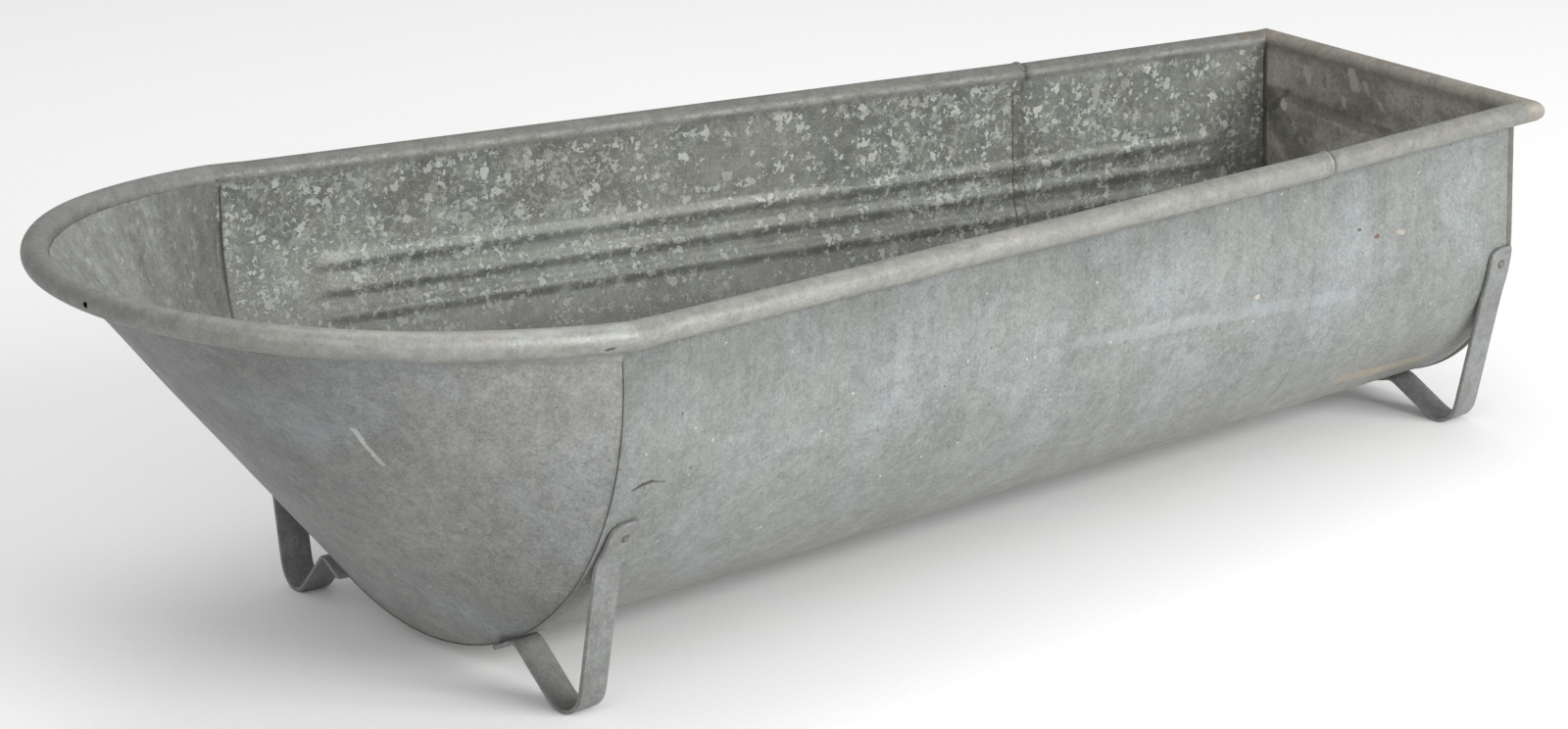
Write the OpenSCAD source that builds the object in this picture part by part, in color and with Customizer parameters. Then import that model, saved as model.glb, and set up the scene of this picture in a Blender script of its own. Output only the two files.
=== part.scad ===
// Livestock water trough in hot-dip galvanised sheet steel.
// Long U-shaped tub, wide and deep at its sloping rounded nose, narrow at its flat end,
// with a hollow rolled rim all round and four bent strap feet riveted on.
// Frame: +X runs along the trough towards the flat end, +Z is up, millimetres.
// The origin is on the ground, at the middle of the overall length and width.

/* [Tub] */
// length of the nose, from its seam to the middle of the rim bead at the tip
nose_l = 370; // [200:1:600]
// length of the long body sheet
long_l = 1000; // [500:5:1500]
// length of the short body sheet
short_l = 334; // [100:1:800]
// half width over the sheet at the nose seam
half_w_nose = 354; // [200:1:450]
// half width over the sheet at the flat end
half_w_end = 201.5; // [120:0.5:400]
// sheet thickness
sheet_t = 1; // [0.6:0.1:2.5]
// clearance of the belly above the ground at the nose seam
belly_z_nose = 19; // [0:0.5:60]
// clearance of the belly above the ground at the flat end
belly_z_end = 29; // [0:0.5:60]
// width of the inside lap at the two body seams
lap_w = 14; // [5:1:30]

/* [Rim] */
// height of the rim bead centre at the nose seam
rim_z_nose = 418; // [250:1:600]
// height of the rim bead centre at the seam between the two body sheets
rim_z_mid = 377; // [250:1:600]
// height of the rim bead centre at the flat end
rim_z_end = 367; // [250:1:600]
// rise of the nose rim, in degrees
nose_rise = 4.4; // [0:0.1:15]
// outer radius of the nose bead
bead_r_nose = 14.9; // [8:0.1:25]
// outer radius of the bead on the long sheet
bead_r_long = 13.8; // [8:0.1:25]
// outer radius of the bead on the short sheet and the end panel
bead_r_short = 12.6; // [8:0.1:25]
// plan radius of the nose tip
nose_tip_r = 350; // [150:1:500]
// plan radius of the two nose sides
nose_side_r = 560; // [300:5:1200]
// how far the skirt of the nose rim reaches down the nose sheet
skirt_d = 29; // [18:1:50]
// vent hole diameter in the nose bead
vent_d = 6; // [3:0.5:12]

/* [Ribs] */
// depths of the three swaged ribs below the rim line
rib_depths = [103, 131, 159];
// height of a rib off the wall
rib_h = 2.6; // [1:0.1:6]
// half width of a rib
rib_half_w = 11; // [4:0.5:14]
// where the ribs start, from the nose seam
rib_start = 100; // [20:5:400]
// where the ribs stop, before the flat end
rib_stop = 56; // [20:1:300]

/* [Feet] */
// strap width
strap_w = 35; // [20:1:60]
// strap thickness
strap_t = 4.8; // [2:0.1:8]
// strap middle at the nose, from the nose seam
foot_x_nose = 31; // [20:1:200]
// strap middle at the flat end, from the flat end
foot_x_end = 17.5; // [17.5:0.5:200]
// half distance between the soles at the nose
sole_y_nose = 233.5; // [150:0.5:330]
// half distance between the soles at the flat end
sole_y_end = 131; // [80:0.5:190]
// middle radius of the sole bend
sole_r = 27; // [10:1:50]
// height of the rivet that holds the strap to the side
side_rivet_z = 196; // [120:1:300]
// distance along the strap from that rivet to where the strap leaves the side
strap_grip = 38; // [15:1:80]
// rivet head diameter
rivet_d = 7; // [5:0.5:20]
// rivet shank diameter
shank_d = 4.5; // [3:0.5:10]

/* [Hidden] */
$fn = 96;
nip = 0.05;          // play between two sheets that lie on each other
bite = 0.5;          // how far a bead bites into the wall it grows from
hem_w = 7;           // width of the hem of the end panel
hem_t = 1.2;         // thickness of that hem
ring_w = 5;          // how far the long bead reaches past its seam
tuck_w = 8;          // how far the short bead sits inside the long bead
rib_root = 0.3;      // how far a rib is rooted in its wall
strap_sink = 0.8;    // how much of the strap is dressed away where it lies on the tub
sole_flat = 0.4;     // depth filed off the sole to make it flat
tail_a_nose = 28;    // where a nose foot comes back to the belly, in degrees from the bottom
tail_a_end = 18;     // the same for a foot at the flat end
tail_l = 36;         // length of the strap that lies on the belly there
tail_rivet_l = 20;   // distance from that place to the belly rivet
round_start = 6;     // how far below the side rivet the strap end starts to round off
end_r_nose = 13;     // corner radius of the strap end, on its side towards the nose
end_r_tail = 4;      // corner radius of the strap end, on its other side
head_h = 0.8;        // height of a rivet head
shut_h = 1;          // height of the flat head inside the tub
head_gap = 0.25;     // play under the rivet head on the curved strap
skirt_t = 1.2;       // thickness of the nose rim skirt
skirt_root = 0.5;    // how far the skirt is rooted in the bead
skirt_gap = 0.5;     // play between the skirt and the nose sheet
head_play = 0.2;     // play between the nose sheet and the bead over it
lip_a = 38;          // where on the bead the skirt starts, in degrees
lip_step = 5;        // the thickness of the skirt there, in degrees round the bead
vent_y = -16;        // sideways place of the vent hole on the nose bead
vent_tilt = 0;       // how far the vent hole looks down, in degrees
bead_sides = 18;     // facets round the nose bead
bead_tip_n = 18;     // stations on each half of the tip arc
bead_side_n = 8;     // stations on each side arc
nose_n = 30;         // facets on each half of the nose
cone_trim = 0.04;    // makes the outline of the cone in plan match the side walls, in degrees
over = 60;           // how far a cutting shape runs past the body
big = 2400;          // larger than the whole trough

body_l = long_l + short_l;
plan_a = atan((half_w_nose - half_w_end) / body_l);
belly_a = atan((belly_z_end - belly_z_nose) / body_l);
// the tub belly is one right cone, its apex beyond the flat end
apex_x = half_w_nose / tan(plan_a);
apex_z = belly_z_nose + apex_x * tan(belly_a);
axis_a = plan_a - belly_a - cone_trim;
cone_a = axis_a + belly_a;
axis_v = [-cos(axis_a), 0, sin(axis_a)];
up_v = [sin(axis_a), 0, cos(axis_a)];
side_v = [0, 1, 0];
wall_phi = acos(-tan(cone_a) * tan(axis_a));
x_min = -nose_l * cos(nose_rise) - bead_r_nose;
x_max = body_l + 2 * bead_r_short;
mid_x = (x_min + x_max) / 2;

// direction on the cone at angle phi from the bottom, and the outward normal there
function ring_v(phi) = sin(phi) * side_v - cos(phi) * up_v;
function gen_v(phi) = cos(cone_a) * axis_v + sin(cone_a) * ring_v(phi);
function out_v(phi) = cos(cone_a) * ring_v(phi) - sin(cone_a) * axis_v;
function tip(off) = [apex_x, 0, apex_z] + axis_v * off / sin(cone_a);
function on_cone(x, phi, off = 0) =
    let (g = gen_v(phi), a = tip(off)) a + g * (x - a.x) / g.x;
function half_w(x, off = 0) = on_cone(x, wall_phi, off).y;
function phi_at(x, z, lo = 0, hi = 90, n = 24) =
    n == 0 ? (lo + hi) / 2
    : on_cone(x, (lo + hi) / 2).z < z ? phi_at(x, z, (lo + hi) / 2, hi, n - 1)
    : phi_at(x, z, lo, (lo + hi) / 2, n - 1);

// rim line: height of the bead centre, and its distance from the middle plane
function rim_z(x) = x < long_l
    ? rim_z_nose + (rim_z_mid - rim_z_nose) * x / long_l
    : rim_z_mid + (rim_z_end - rim_z_mid) * (x - long_l) / short_l;
function bead_r(x) = x <= long_l ? bead_r_long
    : bead_r_long + (bead_r_short - bead_r_long) * (x - long_l) / short_l;
function bead_y(x) = half_w(x) - sheet_t + bead_r(x) - bite;

// nose outline in its own tilted plane: a tip arc and two side arcs, tangent to each other
tip_c = [nose_tip_r - nose_l, 0];
join_y = bead_y(0);
arc_gap = nose_side_r - nose_tip_r;
arc_k = nose_side_r ^ 2 - arc_gap ^ 2 - join_y ^ 2 - tip_c.x ^ 2;
arc_m = 2 * arc_gap * norm([join_y, tip_c.x]);
meet_a = atan2(tip_c.x, join_y) + acos(arc_k / arc_m);
side_c = tip_c + arc_gap * [sin(meet_a), -cos(meet_a)];
seam_a = asin(side_c.x / nose_side_r);
function nose_pt(y, off) =
    let (rt = nose_tip_r - off, rs = nose_side_r - off)
    y < rt * cos(meet_a)
        ? [tip_c.x - sqrt(rt ^ 2 - y ^ 2), y, acos(y / rt)]
        : [min(0, side_c.x - sqrt(max(0, rs ^ 2 - (y - side_c.y) ^ 2))), y,
           acos(min(1, (y - side_c.y) / rs))];
function nose_top_y(off) = side_c.y + sqrt((nose_side_r - off) ^ 2 - side_c.x ^ 2);
function tilt(p) = [p.x * cos(nose_rise), p.y, rim_z_nose - p.x * sin(nose_rise)];

// nose sheet: straight lines from the seam curve up to the nose outline
function nose_phi(i) = wall_phi * i / nose_n;
function nose_foot(i, off, x = 0) =
    let (p = on_cone(x, nose_phi(abs(i)), sheet_t + off)) [x, sign(i) * p.y, p.z];
function nose_head(i, off) =
    let (p = nose_foot(abs(i), off), q = on_cone(0, wall_phi, sheet_t + off))
    let (r = bead_r_nose + head_play + off, h = nose_pt(p.y / q.y * nose_top_y(r), r))
    let (t = tilt(h)) [t.x, sign(i) * t.y, t.z];
function nose_down(i, d, off) =
    let (a = nose_head(i, off), b = nose_foot(i, off)) a + (b - a) * d / norm(b - a);

// skirt of the nose rim: from low on the bead down to the outside of the nose sheet
function nose_lip(i, a) =
    let (r = bead_r_nose - skirt_root)
    let (p = nose_head(i, r * cos(a) - bead_r_nose - head_play))
    [p.x, p.y, p.z - r * sin(a)];

// nose bead: a ring of points round each station of the nose outline; at the seam the
// ring lies in the seam plane
function bead_stop(i) =
    let (a = abs(i) < bead_tip_n
        ? 90 - (90 - meet_a) * abs(i) / bead_tip_n
        : meet_a - (meet_a - seam_a) * (abs(i) - bead_tip_n) / bead_side_n)
    let (c = abs(i) < bead_tip_n ? tip_c : side_c)
    let (r = abs(i) < bead_tip_n ? nose_tip_r : nose_side_r)
    [c.x - r * sin(a), c.y + r * cos(a), a];
function bead_ring(i, r) =
    let (q = bead_stop(i), c = tilt([q.x, q.y]), n = [-sin(q.z), cos(q.z)])
    let (u = tilt([q.x, q.y] + n) - c, k = [sin(nose_rise), 0, cos(nose_rise)], v = cross(u, k))
    [for (j = [0:bead_sides - 1])
        let (w = 360 * j / bead_sides, p = c + r * (cos(w) * u + sin(w) * k))
        let (e = abs(i) == bead_tip_n + bead_side_n ? p - v * p.x / v.x : p)
        [e.x, i < 0 ? -e.y : e.y, e.z]];

// a hollow tube through a list of rings, each ring a list of points
module tube(outer, inner) {
    m = len(outer);
    n = len(outer[0]);
    function f(j, i) = j * n + i % n;
    function b(j, i) = m * n + j * n + i % n;
    function quad(p, q, r, s) = [[p, r, q], [p, s, r]];
    faces = [
        for (j = [0:m - 2], i = [0:n - 1]) each concat(
            quad(f(j, i), f(j, i + 1), f(j + 1, i + 1), f(j + 1, i)),
            quad(b(j, i), b(j + 1, i), b(j + 1, i + 1), b(j, i + 1))),
        for (i = [0:n - 1]) each concat(
            quad(f(0, i), b(0, i), b(0, i + 1), f(0, i + 1)),
            quad(f(m - 1, i), f(m - 1, i + 1), b(m - 1, i + 1), b(m - 1, i)))
    ];
    polyhedron([for (g = [outer, inner], ring = g) each ring], faces, convexity = 6);
}

// a bent sheet between two equal grids of points, one grid for each face
module thick(front, back) {
    m = len(front);
    n = len(front[0]);
    function f(j, i) = j * n + i;
    function b(j, i) = m * n + j * n + i;
    function quad(p, q, r, s) = [[p, r, q], [p, s, r]];
    faces = [
        for (j = [0:m - 2], i = [0:n - 2]) each concat(
            quad(f(j, i), f(j + 1, i), f(j + 1, i + 1), f(j, i + 1)),
            quad(b(j, i), b(j, i + 1), b(j + 1, i + 1), b(j + 1, i))),
        for (i = [0:n - 2]) each concat(
            quad(f(0, i), f(0, i + 1), b(0, i + 1), b(0, i)),
            quad(f(m - 1, i), b(m - 1, i), b(m - 1, i + 1), f(m - 1, i + 1))),
        for (j = [0:m - 2]) each concat(
            quad(f(j, 0), b(j, 0), b(j + 1, 0), f(j + 1, 0)),
            quad(f(j, n - 1), f(j + 1, n - 1), b(j + 1, n - 1), b(j, n - 1)))
    ];
    polyhedron([for (g = [front, back], row = g) each row], faces, convexity = 6);
}

module place() {
    translate([-mid_x, 0, 0]) children();
}

// everything under or over a plane through x, z that rises by a degrees along +X
module below(x, z, a) {
    translate([x, 0, z]) rotate([0, -a, 0]) translate([-big, -big / 2, -big])
        cube([2 * big, big, big]);
}

module above(x, z, a) {
    translate([x, 0, z]) rotate([0, -a, 0]) translate([-big, -big / 2, 0])
        cube([2 * big, big, big]);
}

module between(x0, x1) {
    translate([x0, -big / 2, -big / 2]) cube([x1 - x0, big, big]);
}

// the belly as a solid cone, and the space between the side walls as a wedge
module belly(off) {
    h = apex_x + over;
    translate(tip(off)) rotate([0, -90 + axis_a, 0])
        cylinder(h = h, r1 = 0, r2 = h * tan(cone_a), $fn = 180);
}

module wedge(off) {
    a = tip(off);
    far = apex_x + over;
    translate([a.x, 0, 0]) linear_extrude(height = big)
        polygon([[0, 0], [-far, far * tan(plan_a)], [-far, -far * tan(plan_a)]]);
}

wall_z = on_cone(0, wall_phi).z;
wall_a = atan((on_cone(body_l, wall_phi).z - wall_z) / body_l);

// a U-shaped band of sheet between two offsets, from x0 to x1, up to a sloping top line
module u_sheet(x0, x1, off0, off1, top_x, top_z, top_a) {
    intersection() {
        difference() {
            belly(off0);
            belly(off1);
        }
        between(x0, x1);
        below(0, wall_z, wall_a);
    }
    intersection() {
        difference() {
            wedge(off0);
            wedge(off1);
        }
        between(x0, x1);
        above(0, wall_z, wall_a);
        below(top_x, top_z, top_a);
    }
}

// a round bar from p to q
module bar(p, q, r) {
    v = q - p;
    translate(p) rotate([0, acos(v.z / norm(v)), atan2(v.y, v.x)]) cylinder(h = norm(v), r = r);
}

// both rim beads of one body sheet as hollow tubes along the line x0 to x1
module beads(x0, x1, cut0, cut1, r) {
    for (s = [-1, 1]) {
        p = [x0, s * bead_y(x0), rim_z(x0)];
        q = [x1, s * bead_y(x1), rim_z(x1)];
        v = (q - p) / norm(q - p) * over / 2;
        intersection() {
            difference() {
                bar(p - v, q + v, r);
                bar(p - 2 * v, q + 2 * v, r - sheet_t);
            }
            between(cut0, cut1);
        }
    }
}

// swaged ribs: low round ridges that stand in from the side walls, parallel to the rim
module ribs(x0, x1, off) {
    bar_r = (rib_half_w ^ 2 + rib_h ^ 2) / (2 * rib_h);
    sink = bar_r - rib_h;
    intersection() {
        for (s = [-1, 1], d = rib_depths) {
            za = rim_z(x0) - d;
            zb = rim_z(x1) - d;
            pa = phi_at(x0, za);
            pb = phi_at(x1, zb);
            a = on_cone(x0, pa, off) + sink * out_v(pa);
            b = on_cone(x1, pb, off) + sink * out_v(pb);
            bar([a.x, s * a.y, a.z], [b.x, s * b.y, b.z], bar_r);
        }
        belly(off - rib_root);
    }
}

// outward frame on the tub side at angle phi, on the side s
module on_side(x, phi, s) {
    p = on_cone(x, phi);
    n = out_v(phi);
    translate([p.x, s * p.y, p.z]) rotate([0, acos(n.z), atan2(s * n.y, n.x)]) children();
}

foot_phi_nose = phi_at(foot_x_nose, side_rivet_z);
foot_phi_end = phi_at(body_l - foot_x_end, side_rivet_z);

// [middle x, rivet angle, sole half distance] of the two pairs of feet
feet = [
    [foot_x_nose, foot_phi_nose, sole_y_nose],
    [body_l - foot_x_end, foot_phi_end, sole_y_end]
];
function tail_a(f) = f.x < long_l ? tail_a_nose : tail_a_end;
function tail_rivet_a(f) = tail_a(f) - tail_rivet_l * 180 / (PI * half_w(f.x));

module shank_holes(d) {
    for (f = feet, s = [-1, 1], a = [f[1], tail_rivet_a(f)])
        on_side(f.x, a, s) cylinder(h = strap_w, d = d, center = true);
}

module rivet() {
    r = (rivet_d ^ 2 / 4 + head_h ^ 2) / (2 * head_h);
    seat = strap_t - strap_sink + head_gap;
    inside = -sheet_t - 2 * nip;
    translate([0, 0, seat]) intersection() {
        translate([0, 0, head_h - r]) sphere(r = r, $fn = 64);
        cylinder(h = 2 * head_h, d = rivet_d);
    }
    translate([0, 0, inside - shut_h / 2])
        cylinder(h = seat + (head_h + shut_h) / 2 - inside, d = shank_d);
    translate([0, 0, inside - shut_h]) cylinder(h = shut_h, d = rivet_d);
}

module nose_sheet() {
    idx = [-nose_n:nose_n];
    color([0.52, 0.53, 0.50]) place() thick(
        [for (x = [lap_w, 0]) [for (i = idx) nose_foot(i, nip, x)],
            [for (i = idx) nose_head(i, nip)]],
        [for (x = [lap_w, 0]) [for (i = idx) nose_foot(i, nip + sheet_t, x)],
            [for (i = idx) nose_head(i, nip + sheet_t)]]);
}

module nose_rim() {
    p = nose_pt(-vent_y, 0);
    c = tilt([p.x, vent_y]);
    idx = [-nose_n + 1:nose_n - 1];
    last = bead_tip_n + bead_side_n;
    color([0.62, 0.63, 0.60]) place() difference() {
        union() {
            tube([for (i = [-last:last]) bead_ring(i, bead_r_nose)],
                [for (i = [-last:last]) bead_ring(i, bead_r_nose - sheet_t)]);
            thick([[for (i = idx) nose_down(i, skirt_d, -skirt_gap - skirt_t)],
                [for (i = idx) nose_lip(i, lip_a + lip_step)]],
                [[for (i = idx) nose_down(i, skirt_d, -skirt_gap)],
                [for (i = idx) nose_lip(i, lip_a)]]);
        }
        translate(c) rotate([0, 0, 270 - p.z]) rotate([0, 90 + vent_tilt, 0])
            cylinder(h = 2 * bead_r_nose, d = vent_d, $fn = 32);
    }
}

module long_body_sheet() {
    slope = atan((rim_z_mid - rim_z_nose) / long_l);
    color([0.60, 0.62, 0.61]) place() difference() {
        union() {
            u_sheet(0, long_l, 0, sheet_t, 0, rim_z_nose, slope);
            difference() {
                beads(0, long_l - 1, 0, long_l + ring_w, bead_r_long);
                intersection() {
                    wedge(-nip);
                    between(long_l, big);
                }
            }
            ribs(rib_start, long_l - lap_w - 1, sheet_t);
        }
        shank_holes(shank_d + 0.2);
    }
}

module short_body_sheet() {
    slope = atan((rim_z_end - rim_z_mid) / short_l);
    color([0.60, 0.62, 0.61]) place() difference() {
        union() {
            u_sheet(long_l, body_l, 0, sheet_t, long_l, rim_z_mid, slope);
            u_sheet(long_l - lap_w, long_l + 0.01, sheet_t + nip, 2 * sheet_t + nip,
                long_l, rim_z_mid - bead_r_long - 1, slope);
            difference() {
                beads(long_l, body_l, long_l - tuck_w, body_l, bead_r_short);
                intersection() {
                    wedge(-nip);
                    between(-big, long_l);
                }
            }
            ribs(long_l + 1, body_l - rib_stop, sheet_t);
        }
        shank_holes(shank_d + 0.2);
    }
}

module end_panel() {
    r = bead_r_short;
    y = bead_y(body_l);
    x = body_l + r;
    slope = atan((rim_z_end - rim_z_mid) / short_l);
    color([0.50, 0.50, 0.47]) place() {
        difference() {
            union() {
                intersection() {
                    union() {
                        intersection() {
                            belly(-hem_t);
                            below(0, wall_z, wall_a);
                        }
                        intersection() {
                            wedge(-hem_t);
                            above(0, wall_z, wall_a);
                        }
                    }
                    between(body_l, body_l + sheet_t);
                    below(body_l, rim_z_end, 0);
                }
                bar([x, -y, rim_z_end], [x, y, rim_z_end], r);
                for (s = [-1, 1]) {
                    translate([x, s * y, rim_z_end]) sphere(r = r);
                    bar([body_l, s * y, rim_z_end], [x, s * y, rim_z_end], r);
                }
            }
            bar([x, -y, rim_z_end], [x, y, rim_z_end], r - sheet_t);
            for (s = [-1, 1])
                bar([body_l - 1, s * y, rim_z_end], [x, s * y, rim_z_end], r - sheet_t);
        }
        u_sheet(body_l - hem_w, body_l + 0.01, -hem_t, -nip, body_l, rim_z_end - r, slope);
    }
}

// a straight piece and a bent piece of strap, seen from its edge; the straight piece runs
// a little way into its neighbours
module flat2d(p, q) {
    v = q - p;
    translate(p) rotate([0, 0, atan2(v.y, v.x)]) translate([-bite, -strap_t / 2])
        square([norm(v) + 2 * bite, strap_t]);
}

module bend2d(c, r, a0, a1) {
    am = (a0 + a1) / 2;
    w = 4 * r;
    translate(c) intersection() {
        difference() {
            circle(r = r + strap_t / 2, $fn = 180);
            circle(r = r - strap_t / 2, $fn = 180);
        }
        polygon([[0, 0], w * [cos(a0), sin(a0)], w * [cos(am), sin(am)], w * [cos(a1), sin(a1)]]);
    }
}

// edge view of a foot: along the side, down to the sole, round it and up to the belly
module strap2d(f) {
    rb = half_w(f.x) + strap_t / 2 - strap_sink;
    c = [0, on_cone(f.x, 0).z + half_w(f.x)];
    deg = 180 / (PI * rb);
    phi_leave = f[1] - strap_grip * deg;
    phi_top = f[1] + strap_w / 2 * deg;
    phi_in = tail_a(f);
    knee = c + rb * [sin(phi_leave), -cos(phi_leave)];
    root = c + rb * [sin(phi_in), -cos(phi_in)];
    sole = [f.z, sole_r + strap_t / 2 - sole_flat];
    k = knee - sole;
    m = root - sole;
    a_out = atan2(k.y, k.x) - acos(sole_r / norm(k));
    a_in = atan2(m.y, m.x) + acos(sole_r / norm(m)) - 360;
    bend2d(c, rb, phi_leave - 90, phi_top - 90);
    translate(knee) circle(d = strap_t);
    flat2d(sole + sole_r * [cos(a_out), sin(a_out)], knee);
    bend2d(sole, sole_r, a_in, a_out);
    flat2d(sole + sole_r * [cos(a_in), sin(a_in)], root);
    translate(root) circle(d = strap_t);
    bend2d(c, rb, phi_in - 90 - tail_l * deg, phi_in - 90);
}

// outline of the upper end of a strap, with one large and one small rounded corner
module strap_end2d(s) {
    h = strap_w / 2;
    a = end_r_nose;
    b = end_r_tail;
    mirror([0, s < 0 ? 1 : 0]) {
        translate([a - h, -h]) square([strap_w, strap_w]);
        translate([-h, b - h]) square([strap_w, strap_w - a - b]);
        translate([b - h, -h]) square([strap_w, 2 * b]);
        translate([a - h, h - a]) circle(r = a);
        translate([b - h, b - h]) circle(r = b);
    }
}

module foot(f, s) {
    w = half_w(f.x);
    difference() {
        intersection() {
            translate([f.x, s * w, 0]) rotate([0, 0, -s * plan_a]) translate([0, -s * w, 0])
                mirror([0, s < 0 ? 1 : 0, 0]) rotate([90, 0, 90])
                    linear_extrude(height = strap_w, center = true) strap2d(f);
            union() {
                translate([-big / 2, -big / 2, 0])
                    cube([2 * big, big, side_rivet_z - round_start]);
                on_side(f.x, f[1], s) linear_extrude(height = 2 * strap_w, center = true)
                    strap_end2d(s);
            }
        }
        belly(-nip);
        intersection() {
            belly(-hem_t - nip);
            between(body_l - hem_w - nip, big);
        }
        shank_holes(shank_d + 0.2);
        translate([-big / 2, -big / 2, -big]) cube([2 * big, big, big]);
    }
}

module foot_nose_left() {
    color([0.42, 0.42, 0.39]) place() foot(feet[0], 1);
}

module foot_nose_right() {
    color([0.42, 0.42, 0.39]) place() foot(feet[0], -1);
}

module foot_end_left() {
    color([0.42, 0.42, 0.39]) place() foot(feet[1], 1);
}

module foot_end_right() {
    color([0.42, 0.42, 0.39]) place() foot(feet[1], -1);
}

module side_rivets() {
    color([0.45, 0.45, 0.42]) place() for (f = feet, s = [-1, 1])
        on_side(f.x, f[1], s) rivet();
}

module belly_rivets() {
    color([0.45, 0.45, 0.42]) place() for (f = feet, s = [-1, 1])
        on_side(f.x, tail_rivet_a(f), s) rivet();
}

nose_sheet();
nose_rim();
long_body_sheet();
short_body_sheet();
end_panel();
foot_nose_left();
foot_nose_right();
foot_end_left();
foot_end_right();
side_rivets();
belly_rivets();
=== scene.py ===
"""Looks of the galvanised livestock trough: detailed sheet-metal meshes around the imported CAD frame."""

import math

import bmesh
import bpy
import numpy as np
from mathutils import Matrix, Vector


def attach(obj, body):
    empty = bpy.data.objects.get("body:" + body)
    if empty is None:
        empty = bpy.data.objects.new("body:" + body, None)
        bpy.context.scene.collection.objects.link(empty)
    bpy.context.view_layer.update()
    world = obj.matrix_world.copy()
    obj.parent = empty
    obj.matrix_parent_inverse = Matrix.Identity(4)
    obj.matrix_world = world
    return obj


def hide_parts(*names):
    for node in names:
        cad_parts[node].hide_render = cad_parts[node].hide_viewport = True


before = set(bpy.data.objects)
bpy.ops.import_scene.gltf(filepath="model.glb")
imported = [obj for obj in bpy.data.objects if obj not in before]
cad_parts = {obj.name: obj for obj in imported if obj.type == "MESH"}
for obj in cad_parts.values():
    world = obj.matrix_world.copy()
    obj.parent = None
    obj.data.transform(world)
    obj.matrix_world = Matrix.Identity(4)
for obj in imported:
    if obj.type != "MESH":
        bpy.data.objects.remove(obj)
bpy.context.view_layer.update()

# ---------------------------------------------------------------- dimensions, in millimetres
# Lengths along X count from the nose seam; place() moves them to the row frame.
NOSE_L = 370.0
LONG_L = 1000.0
SHORT_L = 334.0
BODY_L = LONG_L + SHORT_L
HALF_W_NOSE = 354.0
HALF_W_END = 201.5
SHEET_T = 1.0
BELLY_Z_NOSE = 19.0
BELLY_Z_END = 29.0
LAP_W = 14.0
LAP_SEEN = 4.6
RIM_Z_NOSE = 418.0
RIM_Z_MID = 377.0
RIM_Z_END = 367.0
NOSE_RISE = math.radians(4.4)
BEAD_R_NOSE = 14.9
BEAD_R_LONG = 13.8
BEAD_R_SHORT = 12.6
NOSE_TIP_R = 350.0
NOSE_SIDE_R = 560.0
SKIRT_D = 29.0
VENT_R = 3.0
RIB_DEPTHS = (103.0, 131.0, 159.0)
RIB_H = 2.6
RIB_HALF_W = 11.0
RIB_START = 100.0
RIB_STOP = 56.0
RIB_FADE = 34.0
RIB_OUTSIDE = 0.22
STRAP_W = 35.0
STRAP_T = 4.8
FOOT_X_NOSE = 31.0
FOOT_X_END = 17.5
SOLE_Y_NOSE = 233.5
SOLE_Y_END = 131.0
SOLE_R = 27.0
SIDE_RIVET_Z = 196.0
STRAP_GRIP = 38.0
STRAP_SINK = 0.8
STRAP_PLAY = 0.25
STRAP_EDGE_R = 1.3
STRAP_END_R = 13.0
STRAP_TAIL_R = 4.0
SOLE_FLAT = 0.4
TAIL_A_NOSE = 28.0
TAIL_A_END = 18.0
TAIL_L = 36.0
TAIL_RIVET_L = 20.0
RIVET_GAP = 0.25
RIVET_H = 0.8
NIP = 0.05
BITE = 0.5
HEM_W = 7.0
HEM_T = 1.2
RING_W = 5.0
SKIRT_T = 1.2
LIP_A = math.radians(38)
VENT_Y = -16.0
VENT_TILT = 0.0
VENT_CUT = (8.0, 24.0)
HEAD_PLAY = 0.25

MID_X = (-NOSE_L * math.cos(NOSE_RISE) - BEAD_R_NOSE + BODY_L + 2 * BEAD_R_SHORT) / 2

# belly cone, as in the CAD source
PLAN_A = math.atan((HALF_W_NOSE - HALF_W_END) / BODY_L)
BELLY_A = math.atan((BELLY_Z_END - BELLY_Z_NOSE) / BODY_L)
APEX = np.array([HALF_W_NOSE / math.tan(PLAN_A), 0.0, 0.0])
APEX[2] = BELLY_Z_NOSE + APEX[0] * math.tan(BELLY_A)
AXIS_A = PLAN_A - BELLY_A - math.radians(0.04)
CONE_A = AXIS_A + BELLY_A
AXIS_V = np.array([-math.cos(AXIS_A), 0.0, math.sin(AXIS_A)])
UP_V = np.array([math.sin(AXIS_A), 0.0, math.cos(AXIS_A)])
SIDE_V = np.array([0.0, 1.0, 0.0])
WALL_PHI = math.acos(-math.tan(CONE_A) * math.tan(AXIS_A))


def ring_v(phi):
    phi = np.asarray(phi, float)[..., None]
    return np.sin(phi) * SIDE_V - np.cos(phi) * UP_V


def gen_v(phi):
    return math.cos(CONE_A) * AXIS_V + math.sin(CONE_A) * ring_v(phi)


def out_v(phi):
    return math.cos(CONE_A) * ring_v(phi) - math.sin(CONE_A) * AXIS_V


def on_cone(x, phi, off=0.0):
    """Points on the belly cone at length x and angle phi (radians) from the bottom, off inside its outer face."""
    x, phi, off = np.broadcast_arrays(np.asarray(x, float), np.asarray(phi, float), np.asarray(off, float))
    a = APEX + AXIS_V * (off / math.sin(CONE_A))[..., None]
    g = gen_v(phi)
    return a + g * ((x - a[..., 0]) / g[..., 0])[..., None]


def half_w(x, off=0.0):
    return on_cone(x, WALL_PHI, off)[..., 1]


def phi_at(x, z):
    """The angle on the cone at which its outer face reaches height z."""
    x, z = np.broadcast_arrays(np.asarray(x, float), np.asarray(z, float))
    lo, hi = np.zeros(x.shape), np.full(x.shape, math.pi / 2)
    for _ in range(28):
        mid = (lo + hi) / 2
        low = on_cone(x, mid)[..., 2] < z
        lo, hi = np.where(low, mid, lo), np.where(low, hi, mid)
    return (lo + hi) / 2


def wall_z(x):
    return on_cone(x, WALL_PHI)[..., 2]


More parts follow.
